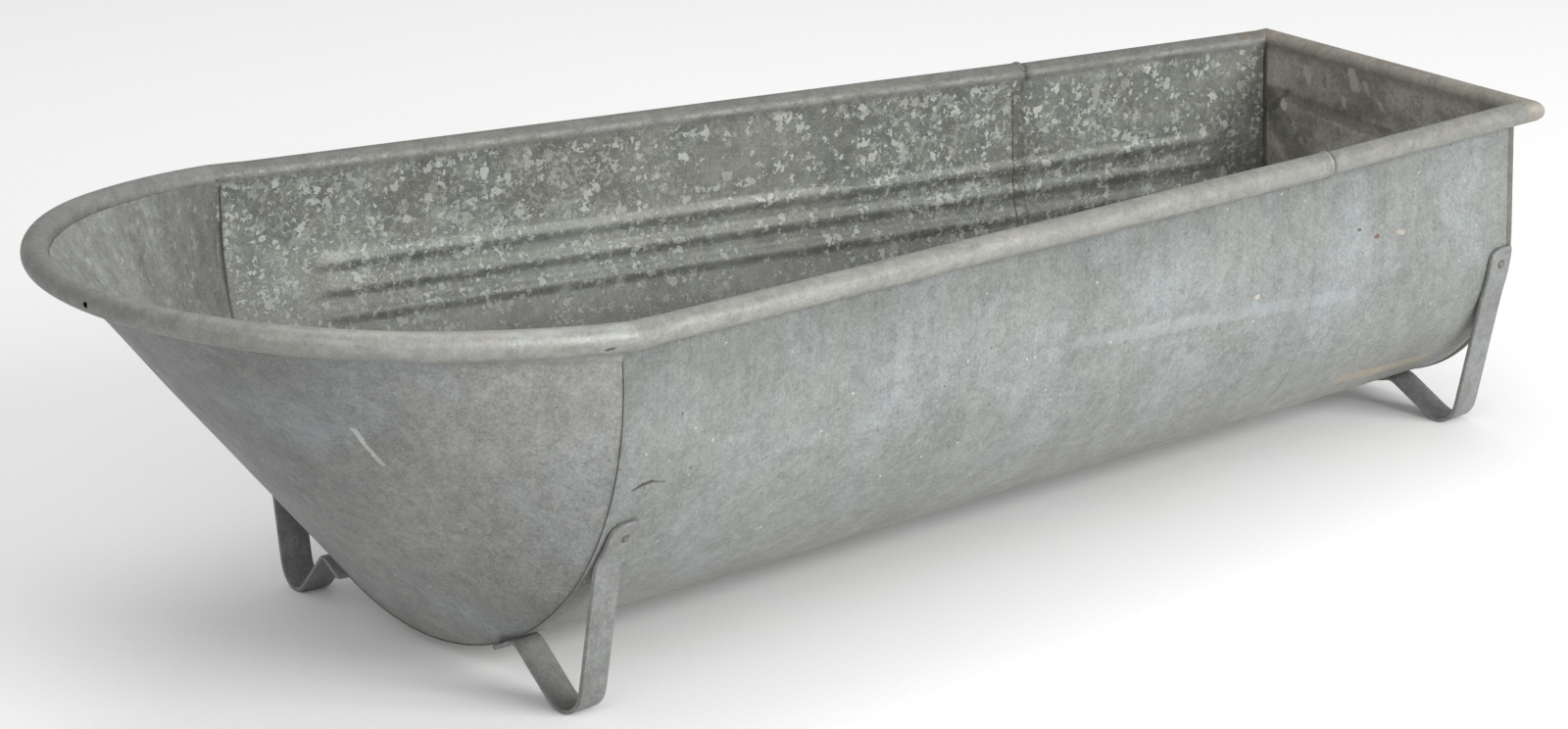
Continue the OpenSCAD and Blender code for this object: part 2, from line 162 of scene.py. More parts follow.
def rim_z(x):
    x = np.asarray(x, float)
    near = RIM_Z_NOSE + (RIM_Z_MID - RIM_Z_NOSE) * x / LONG_L
    far = RIM_Z_MID + (RIM_Z_END - RIM_Z_MID) * (x - LONG_L) / SHORT_L
    return np.where(x < LONG_L, near, far)


def bead_r(x):
    x = np.asarray(x, float)
    t = np.clip((x - LONG_L) / SHORT_L, 0, 1)
    return BEAD_R_LONG + (BEAD_R_SHORT - BEAD_R_LONG) * t


def bead_y(x):
    return half_w(x) - SHEET_T + bead_r(x) - BITE


# nose outline: a tip arc and two side arcs, in the tilted plane of the nose rim
TIP_C = np.array([NOSE_TIP_R - NOSE_L, 0.0])
ARC_GAP = NOSE_SIDE_R - NOSE_TIP_R
JOIN_Y = float(bead_y(0))
ARC_K = NOSE_SIDE_R**2 - ARC_GAP**2 - JOIN_Y**2 - TIP_C[0] ** 2
ARC_M = 2 * ARC_GAP * math.hypot(JOIN_Y, TIP_C[0])
MEET_A = math.atan2(TIP_C[0], JOIN_Y) + math.acos(ARC_K / ARC_M)
SIDE_C = TIP_C + ARC_GAP * np.array([math.sin(MEET_A), -math.cos(MEET_A)])
SEAM_A = math.asin(SIDE_C[0] / NOSE_SIDE_R)


def nose_x(y, off):
    """Length position of the nose outline, off inside its middle line, at half width y >= 0."""
    rt, rs = NOSE_TIP_R - off, NOSE_SIDE_R - off
    tip = TIP_C[0] - np.sqrt(np.maximum(0, rt**2 - y**2))
    side = SIDE_C[0] - np.sqrt(np.maximum(0, rs**2 - (y - SIDE_C[1]) ** 2))
    return np.where(y < rt * math.cos(MEET_A), tip, np.minimum(0, side))


def slim(y):
    """How much thinner than at the seams the nose bead is, at half width y."""
    return 2.3 * smooth(1.15 - np.abs(y) / 260.0)


def nose_top_y(off):
    return SIDE_C[1] + math.sqrt((NOSE_SIDE_R - off) ** 2 - SIDE_C[0] ** 2)


def tilt(x, y):
    return np.stack([x * math.cos(NOSE_RISE), y, RIM_Z_NOSE - x * math.sin(NOSE_RISE)], -1)


def nose_foot(u, off, x=0.0):
    """Points on the seam curve, u from -1 to 1 over the width."""
    p = on_cone(np.full(u.shape, x), WALL_PHI * np.abs(u), SHEET_T + off)
    p[..., 0] = x
    p[..., 1] *= np.sign(u)
    return p


def nose_head(u, off):
    """Points on the upper edge of the nose sheet, off inside the bead."""
    y = nose_foot(np.abs(u), off)[..., 1] / float(on_cone(0.0, WALL_PHI, SHEET_T + off)[1])
    r = BEAD_R_NOSE + HEAD_PLAY + off
    y = np.minimum(y, 1.0) * nose_top_y(r)
    p = tilt(nose_x(y, r - 2 * slim(y)), y)
    p[..., 1] *= np.sign(u)
    return p


def nose_lip(u, inside):
    """Points on the skirt's upper edge, inside mm within the middle line of the slimmed bead."""
    y = nose_foot(np.abs(u), 0.0)[..., 1] / float(on_cone(0.0, WALL_PHI, SHEET_T)[1])
    y = np.minimum(y, 1.0) * nose_top_y(0.0)
    s = slim(y)
    y2 = np.minimum(y / nose_top_y(0.0), 1.0) * nose_top_y(float(np.mean(inside)))
    p = tilt(nose_x(y2, inside - s), y2)
    p[..., 1] *= np.sign(u)
    return p


# ---------------------------------------------------------------- mesh helpers
def smooth(t):
    t = np.clip(t, 0, 1)
    return t * t * (3 - 2 * t)


def waves(p, seed, length, count=9):
    """Smooth pseudo-random height between about -1 and 1 at points p, with features about length long."""
    rng = np.random.default_rng(seed)
    d = rng.normal(size=(count, 3))
    d /= np.linalg.norm(d, axis=1)[:, None]
    k = 2 * math.pi / (length * rng.uniform(0.7, 1.8, count))
    ph = rng.uniform(0, 2 * math.pi, count)
    s = sum(np.sin(p @ d[i] * k[i] + ph[i]) for i in range(count))
    return s / math.sqrt(count)


def spaced(*spans):
    """Joined evenly spaced values: spans are (start, end, step)."""
    parts = [np.linspace(a, b, max(2, int(round(abs(b - a) / s)) + 1)) for a, b, s in spans]
    out = [parts[0]] + [p[1:] for p in parts[1:]]
    return np.concatenate(out)


class Build:
    """Collects vertices and faces of one piece, in millimetres, with a paint value per vertex."""

    def __init__(self):
        self.v, self.f, self.m, self.paint, self.n = [], [], [], [], 0

    def grid(self, pts, mat=0, flip=False, loop=False, paint=None):
        """A sheet of quads over an array of points (rows, columns, 3)."""
        r, c = pts.shape[:2]
        idx = self.n + np.arange(r * c).reshape(r, c)
        if loop:
            idx = np.concatenate([idx, idx[:, :1]], 1)
        a, b, d, e = idx[:-1, :-1], idx[:-1, 1:], idx[1:, 1:], idx[1:, :-1]
        q = np.stack([a, e, d, b] if flip else [a, b, d, e], -1).reshape(-1, 4)
        self.v.append(pts.reshape(-1, 3))
        self.paint.append(np.zeros((r * c, 4)) if paint is None else paint.reshape(-1, 4))
        self.f.append(q)
        self.m.append(np.full(len(q), mat))
        self.n += r * c

    def shell(self, a, b, mats=(0, 0, 0), caps=(1, 1, 1, 1), paint=None, back=None):
        """A sheet between two equal grids; caps close its first row, last row, first column and last column."""
        self.grid(a, mats[0], False, paint=paint)
        self.grid(b, mats[1], True, paint=paint if back is None else back)
        pick = [(0, slice(None)), (-1, slice(None)), (slice(None), 0), (slice(None), -1)]
        turn = [False, True, True, False]
        for on, s, t in zip(caps, pick, turn):
            if on:
                edge = np.stack([b[s], a[s]])
                p = None if paint is None else np.stack([paint[s], paint[s]])
                self.grid(edge, mats[2], t, paint=p)

    def fan(self, ring, mat, flip, edge=0.0):
        """Closes a ring of points with a fan round its middle."""
        pts = np.stack([ring, np.repeat(ring.mean(0)[None], len(ring), 0)])
        self.grid(pts, mat, flip, loop=True, paint=paint_of(pts.shape[:2], edge=edge))

    def make(self, name, materials, slot, nodes, merge=1e-3, sharp=38.0):
        """The finished Blender object, riding on the root body in place of its CAD nodes."""
        v = np.concatenate(self.v)
        f = np.concatenate(self.f)
        m = np.concatenate(self.m)
        paint = np.concatenate(self.paint)
        key = np.round(v / merge).astype(np.int64)
        _, first, back = np.unique(key, axis=0, return_index=True, return_inverse=True)
        back = back.reshape(-1)
        v, paint, f = v[first], paint[first], back[f]
        keep = []
        for q in f:
            u = list(dict.fromkeys(q.tolist()))
            keep.append(u if len(u) > 2 else None)
        m = [int(k) for k, u in zip(m, keep) if u]
        faces = [u for u in keep if u]
        me = bpy.data.meshes.new(name)
        me.from_pydata(place(v).tolist(), [], faces)
        for mat in materials:
            me.materials.append(mat)
        me.polygons.foreach_set("material_index", m)
        me.validate()
        bm = bmesh.new()
        bm.from_mesh(me)
        bmesh.ops.recalc_face_normals(bm, faces=bm.faces)
        bm.to_mesh(me)
        bm.free()
        att = me.attributes.new("paint", "FLOAT_COLOR", "POINT")
        att.data.foreach_set("color", paint.reshape(-1))
        me.update()
        me.shade_smooth()
        me.set_sharp_from_angle(angle=math.radians(sharp))
        ob = add_object(name, me)
        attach(ob, "root")
        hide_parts(*nodes)
        return ob


def add_object(name, data):
    """A new object in the scene."""
    ob = bpy.data.objects.new(name, data)
    bpy.context.scene.collection.objects.link(ob)
    return ob


def place(p):
    """Millimetres from the nose seam to metres in the row frame."""
    return (p - np.array([MID_X, 0.0, 0.0])) / 1000.0


# Paint channels per vertex: rim, painted shade in crevices, edge wear and seams, and a tone that some materials turn
# into painted light and shade.
def paint_of(shape, rim=0.0, crevice_shade=0.0, edge=0.0, tone=0.0):
    out = np.zeros(shape + (4,))
    for i, value in enumerate((rim, crevice_shade, edge, tone)):
        out[..., i] = value
    return out


# ---------------------------------------------------------------- body sheets
WALL_TOP = 190.0
BEAD_TURN = math.radians(150)
BLEND_D = 14.0
FLANK_Y = 150.0
FLANK_Z = 200.0
LOWER_N = 34
BEAD_N = 26


def rib_lift(x, d, x0, x1):
    """Height of the swaged ribs at length x and depth d below the rim line."""
    run = smooth((x - x0) / RIB_FADE) * smooth((x1 - x) / RIB_FADE)
    t = sum(np.cos(np.clip((d - r) / RIB_HALF_W, -1, 1) * math.pi / 2) ** 2 for r in RIB_DEPTHS)
    return RIB_H * run * t


def body_rows(low=WALL_TOP):
    return spaced((low, 170, 5), (170, 92, 1.6), (92, BLEND_D, 6), (BLEND_D, 0, 2))


def bead_swell(xs):
    """How much the long bead is worked out to meet the nose bead, and the short bead in to pass under the ring."""
    swell = (BEAD_R_NOSE - BEAD_R_LONG) * smooth(1 - xs / 55.0)
    tuck = -0.35 * smooth((LONG_L + RING_W + 7 - xs) / 6) * (xs > LONG_L)
    return np.where(xs < LONG_L / 2, swell, tuck)


def body_side(xs, r, ribs, sink, top=True, first=0.0):
    """One half of a body sheet: (inner face, outer face, depth, kind) grids from the bottom to the roll's end."""
    f = np.linspace(0, 1, LOWER_N, endpoint=False)
    d = body_rows()
    d = d[d >= first]
    zr = rim_z(xs)
    z = zr[:, None] - d[None, :]
    x = xs[:, None] * np.ones_like(z)
    wall = (z > wall_z(xs)[:, None])[..., None]
    phi0 = phi_at(xs, zr - WALL_TOP)
    phi = np.minimum(phi_at(x, z), WALL_PHI)
    rib = rib_lift(xs[:, None], d[None, :], *ribs) if ribs else 0 * z
    gap = (half_w(xs) - SHEET_T) - (bead_y(xs) - r)
    blend = smooth(1 - d / BLEND_D)[None, :] * gap[:, None]
    faces = []
    for off, share in ((SHEET_T, 1.0), (0.0, RIB_OUTSIDE)):
        o = (sink + off)[:, None]
        low = on_cone(xs[:, None], f[None, :] * phi0[:, None], o)
        flat = np.stack([x, half_w(xs)[:, None] - o / math.cos(PLAN_A) + 0 * z, z], -1)
        side = np.where(wall, flat, on_cone(x, phi, o)) - out_v(phi) * (rib * share)[..., None]
        parts = [low, side]
        if top:
            side[..., 1] -= blend
            a = np.linspace(math.pi, -BEAD_TURN, BEAD_N)[1:]
            rr = (r if off else r - SHEET_T) + bead_swell(xs)[:, None]
            cy, cz = bead_y(xs)[:, None], zr[:, None]
            parts.append(np.stack([xs[:, None] + 0 * a, cy + rr * np.cos(a), cz + rr * np.sin(a)], -1))
        faces.append(np.concatenate(parts, 1))
    depth = np.concatenate([np.full(LOWER_N, WALL_TOP + 60), d, np.full(BEAD_N - 1 if top else 0, 0.0)])
    rim = np.concatenate([np.zeros(LOWER_N), smooth(1 - d / 9), np.ones(BEAD_N - 1 if top else 0)])
    return faces[0], faces[1], depth, rim


def both_sides(half):
    """Mirrors a half profile that starts on the middle line into a whole one, right side first."""
    right = half[:, ::-1] * np.array([1, -1, 1])
    return np.concatenate([right[:, :-1], half], 1)


def both_ways(values):
    """Mirrors the values along a half profile in the same way."""
    return np.concatenate([values[::-1][:-1], values])


def dent(p, seed, amount=0.7):
    """Gentle waves in the sheet: the same shift for both faces of it."""
    return amount * (0.7 * waves(p, seed, 330.0) + 0.3 * waves(p, seed + 1, 120.0))


def edge_fade(xs, x0, x1, w=45.0):
    return smooth((xs - x0) / w) * smooth((x1 - xs) / w)


def shake(inner, outer, xs, x0, x1, seed, amount=0.7):
    """Moves both faces of a body sheet in and out together, nothing at its two ends."""
    c = (inner + outer) / 2
    w = dent(c, seed, amount) * edge_fade(xs, x0, x1)[:, None]
    out = np.sign(c[..., 1]) * np.minimum(1, np.abs(c[..., 1]) / FLANK_Y)
    n = np.stack([0 * w, out, -1 + np.minimum(1, c[..., 2] / FLANK_Z)], -1)
    n /= np.linalg.norm(n, axis=-1, keepdims=True) + 1e-9
    return inner + n * w[..., None], outer + n * w[..., None]


def body_sheet(xs, r, ribs, sink, seed, ring=None, lap=None, seams=()):
    """A bent body sheet with both its beads; sink is how far in the sheet is set at each of the lengths xs."""
    b = Build()
    inner, outer, depth, rim = body_side(xs, r, ribs, sink)
    cols = 2 * inner.shape[1] - 1
    inner, outer = both_sides(inner), both_sides(outer)
    rim, depth = both_ways(rim), both_ways(depth)
    inner, outer = shake(inner, outer, xs, xs[0], xs[-1], seed)
    near = np.zeros(len(xs))
    for s in seams:
        near = np.maximum(near, np.exp(-np.abs(xs - s) / 1.6))
    # Painted shadow: a black line on the long sheet's wall right behind the edge of the nose lap; on the short sheet
    # instead, painted shade on its bead just past the ring's end and down the slit of the far end corner.
    dark = np.exp(-(((xs - LAP_SEEN - 0.4) / 1.1) ** 2))[:, None] * (1 - rim[None, :])
    if xs[0] > LONG_L / 2:
        under = np.exp(-(((xs - LONG_L - RING_W - 0.6) / 2.2) ** 2))
        corner = smooth((xs - BODY_L + 2.6) / 1.4)
        low = smooth(1.15 - depth / 190) * (1 - rim)
        dark = np.maximum(under[:, None] * rim[None, :], corner[:, None] * low[None, :])
    edge = near[:, None] * (1 - rim[None, :])
    # The tone is the depth below the rim, scaled; the inside material turns it into painted shade low down.
    tone = np.clip(depth / 250, 0, 1)[None, :]
    paint = paint_of((len(xs), cols), rim=rim[None, :], crevice_shade=dark, edge=edge, tone=tone)
    seam = np.exp(-np.abs(xs) / 1.2) * 0.8 + np.exp(-np.abs(xs - NOSE_JOG) / 1.2) * 0.25
    if xs[0] > LONG_L / 2:
        seam = near
    back = paint_of((len(xs), cols), rim=rim[None, :], edge=seam[:, None] * (1 - rim[None, :]))
    b.shell(inner, outer, mats=(0, 1, 2), caps=(lap is None, 1, 1, 1), paint=paint, back=back)
    if lap is not None:
        lin, lout, _, _ = body_side(lap[0], r, ribs, lap[1], top=False, first=BEAD_R_LONG)
        free = lin.shape[1] - 1
        mid = cols // 2
        for s in (slice(0, mid - free + 1), slice(mid + free, cols)):
            b.grid(np.stack([outer[0, s], inner[0, s]]), 2, paint=np.stack([paint[0, s], paint[0, s]]))
        lin, lout = both_sides(lin), both_sides(lout)
        lp = paint_of(lin.shape[:2], edge=1.0)
        b.shell(lin, lout, mats=(0, 1, 2), caps=(1, 0, 1, 1), paint=lp)
    if ring is not None:
        x0, x1 = ring
        a = np.linspace(math.radians(151), -math.radians(151), 36)
        xr = np.array([x0, x0 + 1.5, x1 - 0.6, x1])
        rr = np.array([0.1, 0.7, 1.25, 0.7])
        grids = []
        for k in (0.0, SHEET_T):
            rad = (r + rr - k)[:, None] if k == 0 else np.full((4, 1), r - k + 0.05)
            side = bead_y(xr)[:, None] + rad * np.cos(a)
            grids.append(np.stack([xr[:, None] + 0 * a, side, rim_z(xr)[:, None] + rad * np.sin(a)], -1))
        # Painted shade at the ring's open ends, darkest at its far end where the short bead runs in under it.
        pp = paint_of(grids[0].shape[:2], rim=1.0, crevice_shade=np.array([0.3, 0.0, 0.1, 1.0])[:, None])
        for s in (1, -1):
            g0, g1 = (g[:, ::s] * np.array([1, s, 1]) for g in grids)
            b.shell(g0, g1, mats=(0, 0, 2), paint=pp)
    return b


# ---------------------------------------------------------------- feet
def foot_path(f):
    """Middle line of a strap seen along X: points (y, z) and their normals, from its top to its tail."""
    x, phi_r, sole_y, tail_a = f
    w = float(half_w(x))
    t = STRAP_T
    rb = w + t / 2 - STRAP_SINK + STRAP_PLAY
    c = np.array([0.0, float(on_cone(x, 0.0)[2]) + w])
    per = 1 / rb
    leave = phi_r - STRAP_GRIP * per
    top = phi_r + STRAP_W / 2 * per
    tail = math.radians(tail_a)

    def ray(a):
        return np.array([math.cos(a), math.sin(a)])

    def down(phi):
        return np.array([math.sin(phi), -math.cos(phi)])

    def hug(phis):
        return [(c + rb * down(phi), down(phi)) for phi in phis]

    def leg(p, q, n, a):
        return [(p + (q - p) * s, ray(a)) for s in np.linspace(0, 1, n)[1:]]

    knee, root = c + rb * down(leave), c + rb * down(tail)
    sole = np.array([sole_y, SOLE_R + t / 2 - SOLE_FLAT])
    k, m = knee - sole, root - sole
    a_out = math.atan2(k[1], k[0]) - math.acos(SOLE_R / np.linalg.norm(k))
    a_in = math.atan2(m[1], m[0]) + math.acos(SOLE_R / np.linalg.norm(m)) - 2 * math.pi
    bend = [(sole + SOLE_R * ray(a), ray(a)) for a in np.linspace(a_out, a_in, 26)]
    path = hug(np.linspace(top, leave, 22)) + leg(knee, bend[0][0], 14, a_out) + bend[1:]
    path += leg(bend[-1][0], root, 8, a_in) + hug(np.linspace(tail, tail - TAIL_L * per, 12)[1:])
    return tuple(np.array(part) for part in zip(*path))


def foot_mesh(name, f, s, materials):
    """A bent strap with rounded edges; s is 1 on the left side and -1 on the right."""
    p, n = foot_path(f)
    seg = np.linalg.norm(np.diff(p, axis=0), axis=1)
    at = np.concatenate([[0], np.cumsum(seg)])
    total = at[-1]
    ends = [0, 0.8, 2, 4, 6, 8, 11, 14], [total - 3, total - 1, total]
    fine = np.concatenate([ends[0], np.arange(18, total - 4, 4.0), ends[1]])
    p = np.stack([np.interp(fine, at, p[:, i]) for i in (0, 1)], 1)
    n = np.stack([np.interp(fine, at, n[:, i]) for i in (0, 1)], 1)
    for _ in range(3):
        p[2:-2] = (p[1:-3] + 2 * p[2:-2] + p[3:-1]) / 4
        n[1:-1] = (n[:-2] + 2 * n[1:-1] + n[2:]) / 4
    n /= np.linalg.norm(n, axis=1)[:, None]
    h, t = STRAP_W / 2, STRAP_T / 2
    q = STRAP_EDGE_R

    def rounded(u, r):
        """Half width at the distance u from an end whose corner has the radius r."""
        return h - r + np.sqrt(np.maximum(0, r**2 - np.maximum(0, r - u) ** 2))

    tail_w = rounded(total - fine, STRAP_TAIL_R)
    near, far = (np.minimum(rounded(fine, r), tail_w) for r in (STRAP_END_R, STRAP_TAIL_R))
    corner = [(1, 1), (-1, 1), (-1, -1), (1, -1)]
    ring = []
    for i, (sx, sn) in enumerate(corner):
        for a in (0, 30, 60, 90):
            b = math.radians(a if i % 2 == 0 else 90 - a)
            ring.append((sx, sn, math.cos(b), math.sin(b)))
    grid = np.zeros((len(fine), len(ring), 3))
    end = np.minimum(1, np.minimum(fine + 0.4, total - fine + 0.4) / 1.6)
    for j, (sx, sn, ca, sa) in enumerate(ring):
        w = (near if sx < 0 else far) - q + q * ca
        th = (t - q + q * sa) * (0.75 + 0.25 * end)
        w = np.maximum(w, 0.3)
        grid[:, j, 0] = sx * w
        grid[:, j, 1] = p[:, 0] + sn * th * n[:, 0]
        grid[:, j, 2] = p[:, 1] + sn * th * n[:, 1]
    grid[..., 2] = np.maximum(grid[..., 2], 0.0)
    wall = float(half_w(f[0]))
    y = grid[..., 1] - wall
    ca, sa = math.cos(-PLAN_A), math.sin(-PLAN_A)
    x = grid[..., 0] * ca - y * sa
    yy = grid[..., 0] * sa + y * ca
    out = np.stack([f[0] + x, wall + yy, grid[..., 2]], -1)
    if s < 0:
        out[..., 1] *= -1
    b = Build()
    edge = np.array([1.0 if 0 < r[2] < 0.99 and 0 < r[3] < 0.99 else 0.35 for r in ring])
    pa = paint_of(out.shape[:2], edge=edge[None, :], tone=(fine / total)[:, None])
    b.grid(out, 0, flip=s > 0, loop=True, paint=pa)
    for k, turn in ((0, s > 0), (-1, s < 0)):
        b.fan(out[k], 0, not turn, edge=0.5)
    return b.make(name, materials, "galvanised_feet", [name], merge=1e-3, sharp=50)


# ---------------------------------------------------------------- materials
class Shade:
    """Short calls for building one node material; values are sockets or plain numbers."""

    def __init__(self, name):
        self.mat = bpy.data.materials.new(name)
        self.mat.use_nodes = True
        self.tree = self.mat.node_tree
        self.bsdf = self.tree.nodes["Principled BSDF"]
        self.co = self.node("ShaderNodeTexCoord").outputs["Object"]
        att = self.node("ShaderNodeAttribute")
        att.attribute_name = "paint"
        sep = self.node("ShaderNodeSeparateColor")
        self.link(att.outputs["Color"], sep.inputs[0])
        self.rim, self.crevice_shade, self.edge = sep.outputs
        self.tone = att.outputs["Alpha"]
        xyz = self.node("ShaderNodeSeparateXYZ")
        self.link(self.co, xyz.inputs[0])
        self.x, self.y, self.z = xyz.outputs
        self.rough_co = {0.0: self.co}

    def node(self, kind):
        return self.tree.nodes.new(kind)

    def link(self, value, socket):
        if isinstance(value, bpy.types.NodeSocket):
            self.tree.links.new(value, socket)
        elif isinstance(value, (tuple, list)) and len(value) == 3 and len(socket.default_value) == 4:
            socket.default_value = (*value, 1)
        else:
            socket.default_value = value

    def math(self, op, a, b=0.0, clamp=False):
        n = self.node("ShaderNodeMath")
        n.operation, n.use_clamp = op, clamp
        self.link(a, n.inputs[0])
        self.link(b, n.inputs[1])
        return n.outputs[0]

    def mul(self, a, b):
        return self.math("MULTIPLY", a, b)

    def add(self, a, b):
        return self.math("ADD", a, b)

    def sub(self, a, b):
        return self.math("SUBTRACT", a, b)

    def most(self, a, b):
        return self.math("MAXIMUM", a, b)

    def vec(self, op, *values, scale=None, out=0):
        n = self.node("ShaderNodeVectorMath")
        n.operation = op
        for value, socket in zip(values, n.inputs):
            self.link(value, socket)
        if scale is not None:
            self.link(scale, n.inputs["Scale"])
        return n.outputs[out]

    def ramp(self, v, a, b, lo=0.0, hi=1.0):
        """v from a to b becomes lo to hi, smoothly."""
        n = self.node("ShaderNodeMapRange")
        n.interpolation_type = "SMOOTHSTEP"
        for i, value in enumerate((v, a, b, lo, hi)):
            self.link(value, n.inputs[i])
        return n.outputs[0]

    def at(self, scale=(1, 1, 1), shift=(0, 0, 0), turn=(0, 0, 0)):
        n = self.node("ShaderNodeMapping")
        self.link(self.co, n.inputs["Vector"])
        n.inputs["Scale"].default_value = scale
        n.inputs["Location"].default_value = shift
        n.inputs["Rotation"].default_value = turn
        return n.outputs[0]

    def noise(self, scale, detail=3.0, rough=0.55, twist=0.0, at=None, color=False):
        n = self.node("ShaderNodeTexNoise")
        self.link(at or self.co, n.inputs["Vector"])
        for key, value in (("Scale", scale), ("Detail", detail), ("Roughness", rough), ("Distortion", twist)):
            n.inputs[key].default_value = value
        return n.outputs["Color" if color else "Fac"]

    def cells(self, scale, at=None):
        n = self.node("ShaderNodeTexVoronoi")
        self.link(at or self.co, n.inputs["Vector"])
        n.inputs["Scale"].default_value = scale
        sep = self.node("ShaderNodeSeparateColor")
        self.link(n.outputs["Color"], sep.inputs[0])
        return n.outputs["Distance"], sep.outputs

    def bent(self, scale, amount, shift=(0, 0, 0)):
        """Coordinates pushed about by noise."""
        co = self.at(shift=shift) if any(shift) else self.co
        return self.vec("MULTIPLY_ADD", self.noise(scale, 3.0, color=True), (amount,) * 3, co)

    def mix(self, fac, a, b, how="MIX"):
        n = self.node("ShaderNodeMix")
        n.data_type, n.blend_type = "RGBA", how
        self.link(fac, n.inputs[0])
        self.link(a, n.inputs[6])
        self.link(b, n.inputs[7])
        return n.outputs[2]

    def gain(self, color, value):
        """Multiplies a colour by a plain value."""
        return self.vec("SCALE", color, scale=value)

    def fade(self, color, fades):
        """Scales a colour along some axes; a fade is (axis, from, to, gain at from, gain at to)."""
        for axis, *span in fades:
            color = self.gain(color, self.ramp(getattr(self, axis), *span))
        return color

    def stroke(self, p, q, width, ragged=0.0):
        """1 within width of the line from p to q (metres), 0 away from it."""
        p, q = Vector(p), Vector(q)
        way = q - p
        if ragged not in self.rough_co:
            self.rough_co[ragged] = self.bent(90.0, ragged)
        at = self.vec("SUBTRACT", self.rough_co[ragged], p + Vector((ragged / 2,) * 3))
        dot = self.vec("DOT_PRODUCT", at, way / way.length_squared, out="Value")
        t = self.math("MULTIPLY", dot, 1.0, clamp=True)
        gap = self.vec("DISTANCE", at, self.vec("SCALE", way, scale=t), out="Value")
        return self.ramp(gap, width * 0.6, width, 1.0, 0.0)

    def bump(self, height, distance, normal=None):
        n = self.node("ShaderNodeBump")
        n.inputs["Strength"].default_value = 1.0
        n.inputs["Distance"].default_value = distance
        self.link(height, n.inputs["Height"])
        if normal is not None:
            self.link(normal, n.inputs["Normal"])
        return n.outputs[0]

    def done(self, color, rough, normal, metal):
        self.link(color, self.bsdf.inputs["Base Color"])
        self.link(rough, self.bsdf.inputs["Roughness"])
        self.link(normal, self.bsdf.inputs["Normal"])
        self.bsdf.inputs["Metallic"].default_value = metal
        return self.mat


CHALK = (0.48, 0.495, 0.46)
TAN = (0.40, 0.33, 0.24)
BROWN = (0.12, 0.105, 0.08)
BLUE = (0.33, 0.365, 0.40)
SOOT = (0.045, 0.04, 0.035)
SHADE_BLACK = (0.035, 0.033, 0.028)
WORN = (0.075, 0.07, 0.055)
SPECK = (0.60, 0.61, 0.58)
WARM = (0.33, 0.29, 0.235)
WARM_LOW = (0.34, 0.30, 0.235)


def flakes_of(s, scale, push, amount, zone, shift):
    """Ragged pale zinc crystals: some cells of a warped cell pattern, more of them where zone is high."""
    dist, cell = s.cells(scale, s.bent(scale * 1.5, push, shift))
    ragged = s.add(dist, s.ramp(s.noise(scale * 2.6, 2.5), 0.3, 0.7, -0.27, 0.27))
    on = s.math("GREATER_THAN", s.add(cell[0], s.mul(zone, amount)), 1.0)
    shape = s.ramp(ragged, 0.38, 0.45, 1.0, 0.0)
    return s.mul(s.mul(on, shape), s.ramp(cell[1], 0.0, 1.0, 0.35, 1.0))


def dots_of(s, scale, wave, push, shift, size, share, channel):
    """Small specks: some of the cells, each out to a ragged edge; more of them for a higher share."""
    dist, cell = s.cells(scale, s.bent(wave, push, shift))
    return s.mul(s.ramp(dist, *size, 1.0, 0.0), s.math("GREATER_THAN", cell[channel], 1 - 0.12 * share))


